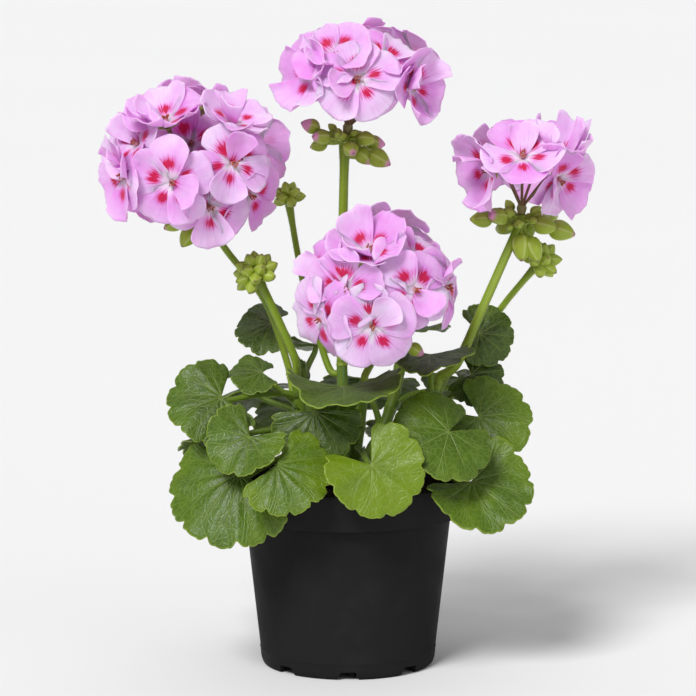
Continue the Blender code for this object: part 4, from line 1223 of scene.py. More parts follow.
@dataclass(frozen=True)
class Soil:
    """The peat: an uneven mound with crumbs on it, and a plain hole for the stem."""
    pot: Pot
    gap: float = 0.5
    edge_height: float = 84.0
    mound: float = 2.0
    hole_radius: float = 6.8
    hole_floor: float = 61.7
    rings: int = 22
    sides: int = 120
    crumb_density: float = 0.16
    bump_height: float = 0.55

    def surface_height(self, radius: np.ndarray, turn: np.ndarray) -> np.ndarray:
        """Height of the uneven top at a radius and a turn."""
        reach = self.pot.inner_radius(self.edge_height) - self.gap
        height = self.edge_height + self.mound * (1.0 - (radius / reach) ** 2)
        x, y = radius * np.cos(turn), radius * np.sin(turn)
        bumps = (np.sin(0.31 * x + 1.1) * np.sin(0.27 * y + 0.4)
                 + 0.6 * np.sin(0.71 * x - 0.4 * y) * np.sin(0.63 * y + 1.9)
                 + 0.4 * np.sin(1.7 * x + 0.9 * y + 0.7) * np.sin(1.5 * y - 1.2 * x))
        calm = smooth_step(self.hole_radius, self.hole_radius + 4.0, radius)
        calm = calm * (1.0 - smooth_step(reach - 3.0, reach, radius))
        return height + self.bump_height * bumps * calm

    def build(self, wardrobe: Wardrobe) -> None:
        """Builds the soil, then its crumbs."""
        pot = self.pot
        ledge = pot.band_foot_height + 2.6
        reach = pot.inner_radius(self.edge_height) - self.gap
        turns = 2.0 * math.pi * np.arange(self.sides + 1) / self.sides
        flat = np.zeros_like(turns)

        def ring(radius: float, heights: np.ndarray) -> np.ndarray:
            """The points of one ring."""
            return np.stack([radius * np.cos(turns), radius * np.sin(turns), heights], -1)

        top = np.stack([ring(r, self.surface_height(flat + r, turns))
                        for r in np.linspace(self.hole_radius, reach, self.rings)])
        sides = ((pot.inner_radius(ledge) - self.gap, ledge + self.gap),
                 (pot.inner_radius(pot.band_foot_height - 0.01) - self.gap,
                  pot.band_foot_height + pot.wall),
                 (pot.inner_radius(pot.floor_top) - self.gap, pot.floor_top + self.gap),
                 (0.0, pot.floor_top + self.gap))
        hole = ((0.0, self.hole_floor), (self.hole_radius, self.hole_floor))
        rows = [*(ring(r, flat + z) for r, z in hole), *top, *(ring(r, flat + z) for r, z in sides)]
        shape = bmesh.new()
        verts = [[shape.verts.new(p) for p in row] for row in rows]
        for lower, upper in zip(verts, verts[1:]):
            for step in range(self.sides):
                shape.faces.new((lower[step], lower[step + 1], upper[step + 1], upper[step]))
        bmesh.ops.remove_doubles(shape, verts=shape.verts, dist=0.001)
        body = Pot.placed("soil_shape", shape)
        mesh = body.data
        bpy.data.objects.remove(body, do_unlink=True)
        mesh.shade_smooth()
        mesh.set_sharp_from_angle(angle=math.radians(40.0))
        settle("peat_mound", mesh, wardrobe.peat, ("potting_soil",))
        pile = MeshPile()
        number = np.arange(top.shape[0] * top.shape[1]).reshape(top.shape[:2])
        faces = np.stack([number[:-1, :-1], number[1:, :-1], number[1:, 1:], number[:-1, 1:]], -1)
        pile.add(top.reshape(-1, 3), faces.reshape(-1, 4), np.zeros((top.size // 3, 2)))
        crumbs = grown("peat_crumbs", pile.to_mesh("soil_top"), wardrobe.scatter,
                       Template=wardrobe.crumb, Seed=5, Lean=CRUMB_LEAN, Smallest=0.45, Largest=1.5,
                       Density=self.crumb_density / METRES_PER_MM ** 2, Material=wardrobe.peat)
        settle("peat_crumbs", crumbs)


@dataclass(frozen=True)
class MainStem:
    """The short, ripening stem that stands in the soil, with old leaf scars."""
    radius: float = MAIN_STEM_RADIUS
    foot: float = 62.0
    top: float = MAIN_STEM_TOP
    scar_swell: float = 0.045
    scar_height: float = 91.0
    scar_step: float = 11.0

    def build(self, wardrobe: Wardrobe) -> None:
        """Builds the stem and dresses it."""
        heights = np.linspace(self.foot, self.top - 3.0, 22)
        scars = np.cos((heights - self.scar_height) * 2.0 * math.pi / self.scar_step)
        radii = self.radius * (1.0 - self.scar_swell + self.scar_swell * scars)
        heights = np.append(heights, [self.top - 1.0, self.top])
        radii = np.append(radii, [self.radius * 0.86, self.radius * 0.55])
        points = np.stack([np.zeros_like(heights), np.zeros_like(heights), heights], -1)
        pile = MeshPile()
        pile.add_loft(points, radii, 28, tone=0.7)
        settle("main_stem_bark", pile.to_mesh("main_stem"), wardrobe.bark,
               ("main_stem",))


@dataclass(frozen=True)
class Leaf:
    """One leaf: its place along a shoot, its blade's midrib, and how the blade bends.

    A spread of 1 all but closes the notch where the stalk meets the blade, and less opens it.
    Curl rolls the blade down along the midrib and across it, in radians over its radius. Cup
    lifts its rim, and wave is the height, count and phase of the waves round it. The tone runs
    from a dark green at 0 to a yellow-green at 1.
    """
    at: float
    junction: tuple
    tip: tuple
    radius: float
    spread: float
    upper_face: tuple
    curl: tuple
    cup: float
    wave: tuple
    tone: float

    THICKNESS = 0.6
    RINGS = 14
    COLUMN_STEP = 2.1
    VEINS = 8
    STALK_RADIUS = 1.35
    RIB_RADIUS = 0.62

    def axes(self) -> tuple[np.ndarray, np.ndarray, np.ndarray]:
        """The blade's frame: along the midrib, across it and out of its upper face."""
        along = unit(point(*self.tip) - point(*self.junction))
        up = square_to(point(*self.upper_face), along)
        return along, np.cross(up, along), up

    def outline(self, angles: np.ndarray) -> np.ndarray:
        """The blade's radius at angles from the midrib, as a share of its full radius."""
        share = 1.0 - BACK_LOBE_SHRINK * (np.abs(angles) / 180.0) ** 2
        from_notch = np.abs((angles % LOBE_STEP) - LOBE_STEP / 2.0)
        share -= LOBE_NOTCH * np.exp(-(from_notch / LOBE_NOTCH_ANGLE) ** 2)
        tooth = (angles - TOOTH_STEP / 2.0) / TOOTH_STEP
        uneven = 0.75 + 0.35 * np.sin(2.7 * np.floor(tooth) + self.radius)
        share -= TOOTH_DEPTH * uneven * (1.0 - np.abs(np.sin(math.pi * tooth)) ** 0.8)
        past = (np.abs(angles) - CORNER_START) / (BLADE_HALF_ANGLE - CORNER_START)
        return share - CORNER_CUT * np.clip(past, 0.0, 1.0) ** 3

    def relief(self, angles: np.ndarray, shares: np.ndarray) -> np.ndarray:
        """How far the blade rises between its veins, puckers and ruffles, in millimetres."""
        turn = np.radians(angles) * self.spread
        phase = self.wave[2] + self.radius
        pleat = -PLEAT * np.cos(2.0 * math.pi * angles / LOBE_STEP) * shares * (1.25 - shares)
        ruffle = RUFFLE * shares ** 4 * np.sin(8.0 * turn + 2.0 * phase)
        ruffle += FINE_RUFFLE * shares ** 5 * np.sin(17.0 * turn + 3.0 * phase)
        pucker = PUCKER * np.sin(15.0 * shares + phase) * np.sin(11.0 * turn + 5.0 * shares)
        return self.radius * (pleat + ruffle + pucker * smooth_step(0.1, 0.4, shares))

    def places(self, angles: np.ndarray, shares: np.ndarray) -> np.ndarray:
        """Places on the bent blade.

        Args:
            angles: degrees from the midrib.
            shares: shares of the way out, in the same shape.

        Returns:
            A point for each.
        """
        turn = np.radians(angles) * self.spread
        radius = self.radius * self.outline(angles) * shares
        along, drop_along = self.bent(radius * np.cos(turn), self.curl[0] / self.radius)
        across, drop_across = self.bent(radius * np.sin(turn), self.curl[1] / self.radius)
        height, count, phase = self.wave
        rise = self.cup * self.radius * shares ** 2
        rise = rise + height * self.radius * shares ** 2 * np.sin(count * turn + phase)
        rise = rise + self.relief(angles, shares) - drop_along - drop_across
        forward, sideways, up = self.axes()
        return (point(*self.junction) + forward * along[..., None]
                + sideways * across[..., None] + up * rise[..., None])

    @staticmethod
    def bent(distance: np.ndarray, curl: float) -> tuple[np.ndarray, np.ndarray]:
        """Where a flat distance ends, and how far it drops, on a blade rolled to an arc."""
        return np.sin(curl * distance) / curl, (1.0 - np.cos(curl * distance)) / curl

    def add_blade(self, pile: MeshPile) -> None:
        """Adds the blade to a pile."""
        columns = int(round(2.0 * BLADE_HALF_ANGLE / self.COLUMN_STEP)) + 1
        angles = np.linspace(-BLADE_HALF_ANGLE, BLADE_HALF_ANGLE, columns)
        shares = 1.0 - (1.0 - np.arange(self.RINGS + 1) / self.RINGS) ** 1.15
        share_grid, angle_grid = np.meshgrid(shares, angles, indexing="ij")
        uv = np.stack([angle_grid / LOBE_STEP, share_grid], -1)
        arc = math.radians(LOBE_STEP) * self.spread * self.radius
        pile.add_sheet(self.places(angle_grid, share_grid), uv, self.axes()[2], self.THICKNESS,
                       pole=True, tone=self.tone, arc=arc)

    def add_stalk(self, start: np.ndarray, stalks: Strands) -> None:
        """Adds the stalk, from inside its shoot to just through the blade."""
        forward, _, up = self.axes()
        end = point(*self.junction) + forward * 1.1 - up * 0.07
        reach = np.linalg.norm(end - start)
        handle = start + (end - start) * 0.3 + point(0.0, 0.0, 0.18 * reach)
        curve = (start, handle, end - up * 0.22 * reach, end)
        fractions = np.linspace(0.0, 1.0, 15)
        radii = self.STALK_RADIUS * (1.25 - 0.25 * fractions + 0.35 * (1.0 - fractions) ** 8)
        stalks.add(bezier(curve, fractions), radii, 0.25 - 0.2 * fractions)

    def add_ribs(self, ribs: Strands) -> None:
        """Adds the veins that stand out of the blade's underside."""
        up = self.axes()[2]
        shares = np.linspace(0.0, 0.8, 8)
        for index in range(self.VEINS - 1):
            angles = np.full_like(shares, LOBE_STEP * (index - (self.VEINS - 2) / 2.0))
            line = self.places(angles, shares) - up * (self.THICKNESS / 2.0)
            ribs.add(line, self.RIB_RADIUS - 0.5 * shares, 0.0)


@dataclass(frozen=True)
class Shoot:
    """One leafy stem: where and which way it leaves the main stem, where it ends, its leaves."""
    name: str
    start: tuple
    heading: tuple
    end: tuple
    lean: tuple
    leaves: tuple

    RADIUS = 3.6
    TIP_RADIUS = 2.6
    JOINT_SWELL = 0.45

    def curve(self) -> tuple:
        """The four control points of its curve."""
        start, end = point(*self.start), point(*self.end)
        lean = unit(point(*self.lean))
        reach = np.linalg.norm(end - start)
        return (start, start + point(*self.heading) * 0.28 * reach, end - lean * 0.4 * reach, end)

    def frame_at(self, fraction: float) -> tuple[np.ndarray, np.ndarray, float]:
        """Point, direction and radius at a fraction of its length."""
        curve = self.curve()
        near = bezier(curve, max(fraction - 0.02, 0.0))
        far = bezier(curve, min(fraction + 0.02, 1.0))
        radius = self.RADIUS + (self.TIP_RADIUS - self.RADIUS) * fraction
        return bezier(curve, fraction), unit(far - near), radius

    def stalk_foot(self, fraction: float, towards: np.ndarray, radius: float) -> list[np.ndarray]:
        """A flower stalk's first points, from inside the shoot to clear of its side."""
        place, axis, shoot_radius = self.frame_at(fraction)
        if fraction >= 1.0:
            start = place + axis * SEAT_GAP
            return [start - axis * STALK_LEAD, start, start + axis * STALK_LEAD]
        side = square_to(towards - place, axis)
        start = place + side * (shoot_radius + SEAT_GAP + 0.3 * radius)
        direction = unit(side + axis * 0.3)
        return [place - axis * 4.0, place + side * 1.2 - axis * 1.5,
                start + direction * STALK_LEAD]

    def build(self, wardrobe: Wardrobe, seed: int) -> None:
        """Builds the shoot, its leaf stalks, blades, stipules and hairs."""
        stems = Strands()
        fractions = np.linspace(0.0, 1.0, 41)
        line = bezier(self.curve(), fractions)
        line[1:4] = line[0] + point(*self.heading) * np.array([[1.0], [2.0], [3.0]])
        swelling = np.zeros_like(fractions)
        for leaf in self.leaves:
            swelling += self.JOINT_SWELL * np.exp(-((fractions - leaf.at) / 0.035) ** 2)
        radii = self.RADIUS + (self.TIP_RADIUS - self.RADIUS) * fractions + swelling
        stems.add(line, np.minimum(radii, self.RADIUS + 0.3), 0.6 - 0.4 * fractions)
        blades = MeshPile()
        for leaf in self.leaves:
            start, axis, radius = self.frame_at(leaf.at)
            leaf.add_stalk(start, stems)
            leaf.add_ribs(stems)
            leaf.add_blade(blades)
            self.add_stipules(blades, start, axis, radius, leaf)
        tubes = wardrobe.tubed(self.name + "_stems", stems, STEM_SIDES, wardrobe.shoot)
        settle(self.name + "_stems", tubes)
        wardrobe.haired(self.name + "_down", tubes, 0.5, seed)
        if self.leaves:
            settle(self.name + "_blades", blades.to_mesh(self.name + "_blades"),
                   wardrobe.leaf, (self.name,))

    @staticmethod
    def add_stipules(pile: MeshPile, place: np.ndarray, axis: np.ndarray, radius: float,
                     leaf: Leaf) -> None:
        """Adds the two small pointed bracts beside a leaf stalk's foot."""
        away = square_to(point(*leaf.junction) - place, axis)
        across = np.cross(axis, away)
        for sign in (-1.0, 1.0):
            out = unit(away + across * sign * 1.1)
            foot = place + out * (radius - 0.3)
            wing = np.cross(out, axis)
            grid, uv = pointed_scale(foot, axis * 4.6 + out * 1.6, wing * 2.0, out * 0.8)
            pile.add_sheet(grid, uv, out, SCALE_THICKNESS, tone=0.55, arc=4.0)


def pointed_scale(foot: np.ndarray, reach: np.ndarray, half_width: np.ndarray,
                  belly: np.ndarray) -> tuple[np.ndarray, np.ndarray]:
    """A small pointed leaf, such as a bract or a sepal.

    Args:
        foot: the middle of its base.
        reach: from its base to its tip.
        half_width: from its middle line to its widest edge.
        belly: how far its middle bulges.

    Returns:
        Its grid and its map values, 7 rows by 5 columns.
    """
    rows, columns = np.linspace(0.0, 1.0, 7), np.linspace(-1.0, 1.0, 5)
    s, t = np.meshgrid(rows, columns, indexing="ij")
    width = np.sin(math.pi * (0.16 + 0.84 * s ** 0.8)) ** 0.8 * (1.0 - 0.35 * s) + 0.02
    bulge = np.sin(math.pi * s) * (1.0 - 0.6 * t ** 2)
    grid = (foot + reach * s[..., None] + half_width * (t * width)[..., None]
            + belly * bulge[..., None])
    return grid, np.stack([0.5 * t, 0.3 + 0.6 * s], -1)


@dataclass(frozen=True)
class Petal:
    """One petal of a floret, in shares of the floret's radius unless it says otherwise.

    Middle is its turn in degrees, mark widens its flare, and tint runs from pale to pink. Bared
    leaves out that share of the pattern at its foot, where a short petal has no white throat.
    """
    middle: float
    length: float
    half_width: float
    mark: float
    droop_mm: float
    cup_mm: float
    twist_mm: float
    curl_mm: float
    ruffle_mm: float
    phase: float
    tint: float
    bared: float = 0.0

    ROWS = 15
    COLUMNS = 13
    THICKNESS = 0.3
    FOOT_DIP = 2.6
    FOOT_SHARE = 0.42
    TIP_NOTCH = 0.035
    NIBBLE = 0.009
    ROUNDING = 0.38

    @classmethod
    def drawn(cls, index: int, floret: "Floret", draw: random.Random) -> "Petal":
        """Draws a floret's outer petal by its number. The first and last are the upper pair."""
        upper = index in (0, PETALS - 1)
        fold = draw.uniform(3.0, 6.0) if draw.random() < 0.2 else draw.uniform(-2.2, 2.4)
        return cls(
            middle=PETAL_STEP * (index + 0.5) + draw.uniform(-8.0, 8.0),
            length=draw.uniform(0.90, 1.0),
            half_width=draw.uniform(0.44, 0.54) - 0.02 * max(fold - 2.6, 0.0),
            mark=floret.flare * draw.uniform(0.8, 1.1) if upper else draw.uniform(0.0, 0.15),
            droop_mm=floret.droop + draw.uniform(-2.6, 2.2),
            cup_mm=fold,
            twist_mm=1.2 + draw.uniform(-1.8, 1.6),
            curl_mm=draw.uniform(-2.6, 2.2),
            ruffle_mm=draw.uniform(0.4, 1.3),
            phase=draw.uniform(0.0, 6.28),
            tint=draw.uniform(0.0, 1.0),
        )

    @classmethod
    def inner(cls, floret: "Floret", draw: random.Random) -> "Petal":
        """Draws one of the small, upright petals that half fill a double floret."""
        return cls(
            middle=PETAL_STEP * draw.randrange(PETALS) + draw.uniform(-14.0, 14.0),
            length=draw.uniform(0.58, 0.80),
            half_width=draw.uniform(0.28, 0.38),
            mark=draw.uniform(0.0, 0.1),
            droop_mm=min(floret.droop, 0.0) - draw.uniform(4.5, 7.5),
            cup_mm=draw.uniform(-0.5, 2.5),
            twist_mm=draw.uniform(-2.0, 2.0),
            curl_mm=draw.uniform(-1.5, 2.5),
            ruffle_mm=draw.uniform(0.3, 0.9),
            phase=draw.uniform(0.0, 6.28),
            tint=draw.uniform(0.3, 1.0),
            bared=0.4,
        )

    def add(self, pile: MeshPile, centre: np.ndarray, across: np.ndarray, up: np.ndarray,
            outward: np.ndarray, radius: float) -> None:
        """Adds the petal to a pile.

        Args:
            pile: gets the petal.
            centre: the floret's centre.
            across: across the floret.
            up: up the floret.
            outward: the way the floret looks.
            radius: the floret's radius.
        """
        columns = np.sin(math.pi / 2.0 * np.linspace(-1.0, 1.0, self.COLUMNS))
        s, t = np.meshgrid(np.linspace(0.0, 1.0, self.ROWS) ** 0.9, columns, indexing="ij")
        width = self.half_width * np.sin(math.pi / 2.0 * (0.08 + 0.92 * s) ** 0.9)
        notch = self.TIP_NOTCH * (0.5 + 0.5 * math.sin(self.phase))
        tip_dip = notch * np.exp(-(t / 0.22) ** 2) * s ** 8
        nibble = self.NIBBLE * s ** 8 * np.sin(2.0 * self.phase + 9.0 * t)
        arch = 1.0 - np.sqrt(1.0 - (0.985 * t) ** 2)
        reach = self.length * s * (1.0 - self.ROUNDING * s * arch)
        reach = (reach - tip_dip + nibble) * math.sqrt(1.0 - (self.droop_mm / radius) ** 2)
        rise = -self.droop_mm * s ** 2 + self.cup_mm * t ** 2 * s + self.twist_mm * t * s
        rise = rise - self.FOOT_DIP * (1.0 - np.minimum(s / self.FOOT_SHARE, 1.0)) ** 2
        rise = rise + self.curl_mm * smooth_step(0.6, 1.0, s) * (1.0 - 0.5 * t ** 2)
        rise = rise + self.ruffle_mm * s ** 3 * np.sin(self.phase + 5.2 * t)
        rise = rise + 0.5 * self.ruffle_mm * s ** 5 * np.sin(2.0 * self.phase + 11.0 * t)
        turn = math.radians(self.middle)
        forward = across * math.sin(turn) + up * math.cos(turn)
        sideways = across * math.cos(turn) - up * math.sin(turn)
        grid = (centre + forward * (reach * radius)[..., None]
                + sideways * (width * t * radius)[..., None] + outward * rise[..., None])
        out = self.bared + (1.0 - self.bared) * s
        pile.add_sheet(grid, np.stack([width * t, out], -1), outward, self.THICKNESS,
                       mark=self.mark, tint=self.tint)


@dataclass(frozen=True)
class Floret:
    """One floret of a head: right of and above its ball's centre, and the way it looks.

    It looks out of the ball, then turn swings it to the right and tilt lifts it. Roll turns it
    about its own middle. Droop is how far the petals' tips bend back, and below 0 they make a cup.
    Flare is how wide the crimson spreads on the upper two petals, and inner counts the small
    petals in the middle. A depth under 1 sets the floret back towards the ball's heart.
    """
    right: float
    above: float
    side: Side = Side.FRONT
    roll: float = 0.0
    tilt: float = 0.0
    turn: float = 0.0
    droop: float = FLORET_DROOP
    flare: float = 0.3
    inner: int = 1
    depth: float = 1.0

    def petals(self, draw: random.Random) -> list[Petal]:
        """Its five outer petals and its small inner ones."""
        outer = [Petal.drawn(number, self, draw) for number in range(PETALS)]
        return outer + [Petal.inner(self, draw) for _ in range(self.inner)]

    def stance(self, head: "FlowerHead", index: int) -> tuple:
        """Centre, across, up and outward of the floret, and its radius."""
        wide, deep, high = head.ball
        spread = max(0.04, 1.0 - (self.right / wide) ** 2 - (self.above / high) ** 2)
        back = -self.side.value * deep * math.sqrt(spread)
        outward = unit(point(self.right / wide ** 2, back / deep ** 2, self.above / high ** 2))
        centre = point(*head.centre) + point(self.right, back * self.depth, self.above)
        centre = centre + outward * FLORET_LAYER_STEP * (index % 3 - 1)
        upright = point(0.0, 0.0, 1.0)
        swing, lift, roll = (math.radians(angle) for angle in (self.turn, self.tilt, self.roll))
        outward = point(outward[0] * math.cos(swing) - outward[1] * math.sin(swing),
                        outward[0] * math.sin(swing) + outward[1] * math.cos(swing), outward[2])
        outward = outward * math.cos(lift) + square_to(upright, outward) * math.sin(lift)
        up = square_to(upright, outward)
        across = np.cross(up, outward)
        up, across = (up * math.cos(roll) + across * math.sin(roll),
                      across * math.cos(roll) - up * math.sin(roll))
        return centre, across, up, outward, FLORET_RADIUS + 1.2 * math.sin(2.4 * index + 3.0)


@dataclass(frozen=True)
class StalkedHead:
    """What every head has: its stalk's shoot and its place on that, its route and its radii."""
    name: str
    shoot: str
    at: float
    route: tuple
    stalk_radii: tuple

    def stalk(self, shoots: dict, end: np.ndarray) -> tuple[np.ndarray, np.ndarray, np.ndarray]:
        """Points on the stalk from inside its shoot to its end, their shares, and the radii."""
        route = [point(*place) for place in self.route]
        foot = shoots[self.shoot].stalk_foot(self.at, route[0], self.stalk_radii[0])
        line = smooth_route([*foot, *route, end], 8)
        share = np.linspace(0.0, 1.0, len(line))
        return line, share, self.stalk_radii[0] + (self.stalk_radii[1]
                                                   - self.stalk_radii[0]) * share

    @staticmethod
    def settle_stalk(wardrobe: Wardrobe, name: str, stalks: Strands, hub: np.ndarray,
                     core: float, hair: tuple, seed: int) -> None:
        """Ends a stalk in its hub and builds both, with skin and hairs.

        Args:
            wardrobe: the finishes.
            name: the node's name.
            stalks: the stalk's path, which gets the hub.
            hub: points along the hub.
            core: the hub's least radius.
            hair: the hub's tone, and how many hairs a square millimetre has.
            seed: the hairs' seed.
        """
        swell = np.linspace(-1.0, 1.0, len(hub))
        radii = core + HUB_SWELL * np.sqrt(np.maximum(1.0 - swell ** 2, 0.0))
        stalks.add(hub, radii, hair[0])
        tubes = wardrobe.tubed(name + "_skin", stalks, STALK_SIDES, wardrobe.stalk)
        settle(name + "_skin", tubes, None, (name,))
        wardrobe.haired(name + "_down", tubes, hair[1], seed)


@dataclass(frozen=True)
class FlowerHead(StalkedHead):
    """One flower head, and the ball that its florets lie on."""
    hub: tuple
    centre: tuple
    ball: tuple
    florets: tuple
    buds: tuple
    young: int
    seed: int

    def axis(self) -> np.ndarray:
        """The direction from the hub to the ball's centre."""
        return unit(point(*self.centre) - point(*self.hub))

    def knob(self) -> np.ndarray:
        """Where the small stalks part, just above the hub."""
        return point(*self.hub) + self.axis() * (HUB_RADIUS + SEAT_GAP + BLOOM_KNOB_RADIUS)

    def build(self, wardrobe: Wardrobe, shoots: dict) -> None:
        """Builds the stalk, hub, bracts, buds, small stalks, calyces, petals and stamens."""
        self.build_stalk(wardrobe, shoots)
        petals, calyces = MeshPile(), MeshPile()
        pedicels = Strands()
        spots: list[tuple] = []
        axis, knob = self.axis(), self.knob()
        pedicels.add(np.array([knob - axis * BLOOM_KNOB_RADIUS, knob, knob + axis * 2.5]),
                     np.array([2.0, 2.7, 1.8]), -0.2)
        for index, floret in enumerate(self.florets):
            draw = random.Random(100 * self.seed + index)
            centre, across, up, outward, radius = floret.stance(self, index)
            for petal in floret.petals(draw):
                petal.add(petals, centre, across, up, outward, radius)
            neck = centre - outward * NECK_DEPTH
            reach = np.linalg.norm(neck - knob)
            curve = (knob, knob + (neck - knob) * 0.35 + axis * 0.06 * reach,
                     neck - outward * 0.2 * reach, neck + outward * 1.8)
            fractions = np.linspace(0.0, 1.0, 11)
            radii = 0.72 + 0.95 * smooth_step(0.78, 1.0, fractions)
            pedicels.add(bezier(curve, fractions), radii, 0.85 - 0.5 * fractions ** 6)
            self.add_calyx(calyces, neck, across, up, outward)
            spots += self.stamen_spots(centre, across, up, outward, draw)
        name = "bloom_" + self.name
        settle(name + "_petals", petals.to_mesh(name, PETAL_MAP), wardrobe.petal,
               (name,))
        settle(name + "_pedicels", wardrobe.tubed(name + "_pedicels", pedicels, PEDICEL_SIDES,
                                                  wardrobe.pedicel))
        settle(name + "_calyces", calyces.to_mesh(name + "_calyces"), wardrobe.bud)
        points = bpy.data.meshes.new(name + "_spots")
        points.from_pydata([tuple(place * METRES_PER_MM) for place, _, _ in spots], [], [])
        heading = points.attributes.new("heading", "FLOAT_VECTOR", "POINT")
        heading.data.foreach_set("vector", np.array([h for _, h, _ in spots], np.float32).ravel())
        size = points.attributes.new("size", "FLOAT", "POINT")
        size.data.foreach_set("value", np.array([s for _, _, s in spots], np.float32))
        stamens = grown(name + "_stamens", points, wardrobe.set_out,
                        Template=wardrobe.stamen_shape, Material=wardrobe.stamen)
        settle(name + "_stamens", stamens)

    @staticmethod
    def add_calyx(pile: MeshPile, neck: np.ndarray, across: np.ndarray, up: np.ndarray,
                  outward: np.ndarray) -> None:
        """Adds the five sepals that hold a floret from behind."""
        for number in range(PETALS):
            turn = math.radians(PETAL_STEP * number)
            out = across * math.sin(turn) + up * math.cos(turn)
            grid, uv = pointed_scale(neck + out * 0.7, out * 5.6 + outward * 2.1,
                                     np.cross(out, outward) * 1.5, outward * -0.5)
            pile.add_sheet(grid, uv, outward, SCALE_THICKNESS, tone=0.1, along=uv[..., 1] * 0.7)

    @staticmethod
    def stamen_spots(centre: np.ndarray, across: np.ndarray, up: np.ndarray, outward: np.ndarray,
                     draw: random.Random) -> list[tuple]:
        """Foot, heading and size of each of a floret's stamens."""
        spots = []
        for number in range(STAMENS):
            turn = 2.0 * math.pi * number / STAMENS + draw.uniform(-0.2, 0.2)
            lean = draw.uniform(0.05, 0.38)
            out = across * math.cos(turn) + up * math.sin(turn)
            heading = unit(outward + out * lean - up * 0.1)
            spots.append((centre - outward * 2.2 + out * 0.4, heading, draw.uniform(0.6, 0.95)))
        return spots

    def build_stalk(self, wardrobe: Wardrobe, shoots: dict) -> None:
        """Builds the stalk with its hub, bracts and buds."""
        name = "flower_stalk_" + self.name
        hub, axis = point(*self.hub), self.axis()
        line, share, radii = self.stalk(shoots, hub)
        radii = radii + 0.8 * smooth_step(0.93, 1.0, share) + 0.5 * (1.0 - share) ** 20
        stalks = Strands()
        stalks.add(line, radii, 0.5 - 0.4 * share)
        self.settle_stalk(wardrobe, name, stalks, hub_line(hub, axis), 2.0, (0.2, 0.9), self.seed)
        buds = MeshPile()
        add_bract_ring(buds, hub - axis * 1.2, axis, HUB_RADIUS)
        draw = random.Random(900 + self.seed)
        for place in self.buds:
            reach = point(*place[:3])
            half = unit(reach) * place[3] * 0.5
            add_bud(buds, hub, hub + reach - half * 1.2, hub + reach + half * 1.2,
                    draw.uniform(0.0, 1.0), axis)
        side = square_to(point(0.3, 1.0, 0.2), axis)
        for number in range(self.young):
            turn = YOUNG_BUD_TURN * number + draw.uniform(-0.3, 0.3)
            out = side * math.cos(turn) + np.cross(axis, side) * math.sin(turn)
            heading = unit(out + axis * draw.uniform(-0.3, 1.1))
            reach, length = draw.uniform(3.5, 7.5), draw.uniform(4.5, 6.5)
            add_bud(buds, hub, hub + heading * reach, hub + heading * (reach + length), 0.0, axis)
        settle(name + "_buds", buds.to_mesh(name + "_buds"), wardrobe.bud)


def hub_line(hub: np.ndarray, axis: np.ndarray) -> np.ndarray:
    """Nine points along a stalk's hub."""
    return hub + axis * HUB_RADIUS * np.linspace(-1.0, 1.0, 9)[:, None]


def add_bract_ring(pile: MeshPile, centre: np.ndarray, axis: np.ndarray, radius: float) -> None:
    """Adds the ring of small bracts where a head's small stalks part.

    Args:
        pile: gets the bracts.
        centre: the ring's centre.
        axis: the stalk's direction there.
        radius: the hub's radius.
    """
    side = square_to(point(0.3, 1.0, 0.2), axis)
    other = np.cross(axis, side)
    for number in range(BRACTS):
        turn = 2.0 * math.pi * number / BRACTS
        out = side * math.cos(turn) + other * math.sin(turn)
        grid, uv = pointed_scale(centre + out * (radius - 1.2), out * 3.2 + axis * 1.6,
                                 np.cross(out, axis) * 1.5, axis * -0.5)
        pile.add_sheet(grid, uv, axis, SCALE_THICKNESS, tone=0.0, along=uv[..., 1] * 0.8)


def add_bud(pile: MeshPile, root: np.ndarray, foot: np.ndarray, tip: np.ndarray, ripe: float,
            axis: np.ndarray) -> None:
    """Adds a bud: its small stalk and five ribbed sepals that close to a point.

    Args:
        pile: gets the bud.
        root: where its small stalk starts.
        foot: where the bud starts.
        tip: the bud's point.
        ripe: how much pink shows at its tip, from 0 to 1.
        axis: the way the stalks leave the root.
    """
    reach = np.linalg.norm(foot - root)
    curve = (root, root + (foot - root) * 0.4 + axis * 0.08 * reach, foot - unit(tip - foot) * 0.3
             * reach, foot + unit(tip - foot) * 0.4)
    pile.add_loft(bezier(curve, np.linspace(0.0, 1.0, 7)),
                  np.linspace(0.75, 0.8, 7), 6, tone=0.0)
    length = np.linalg.norm(tip - foot)
    share = np.linspace(0.0, 1.0, 9)
    radii = 0.42 * length * np.sin(math.pi * (0.10 + 0.88 * share ** 0.82)) ** 0.75
    pile.add_loft(foot + (tip - foot) * share[:, None], radii, 10, ribs=0.13, tone=ripe)


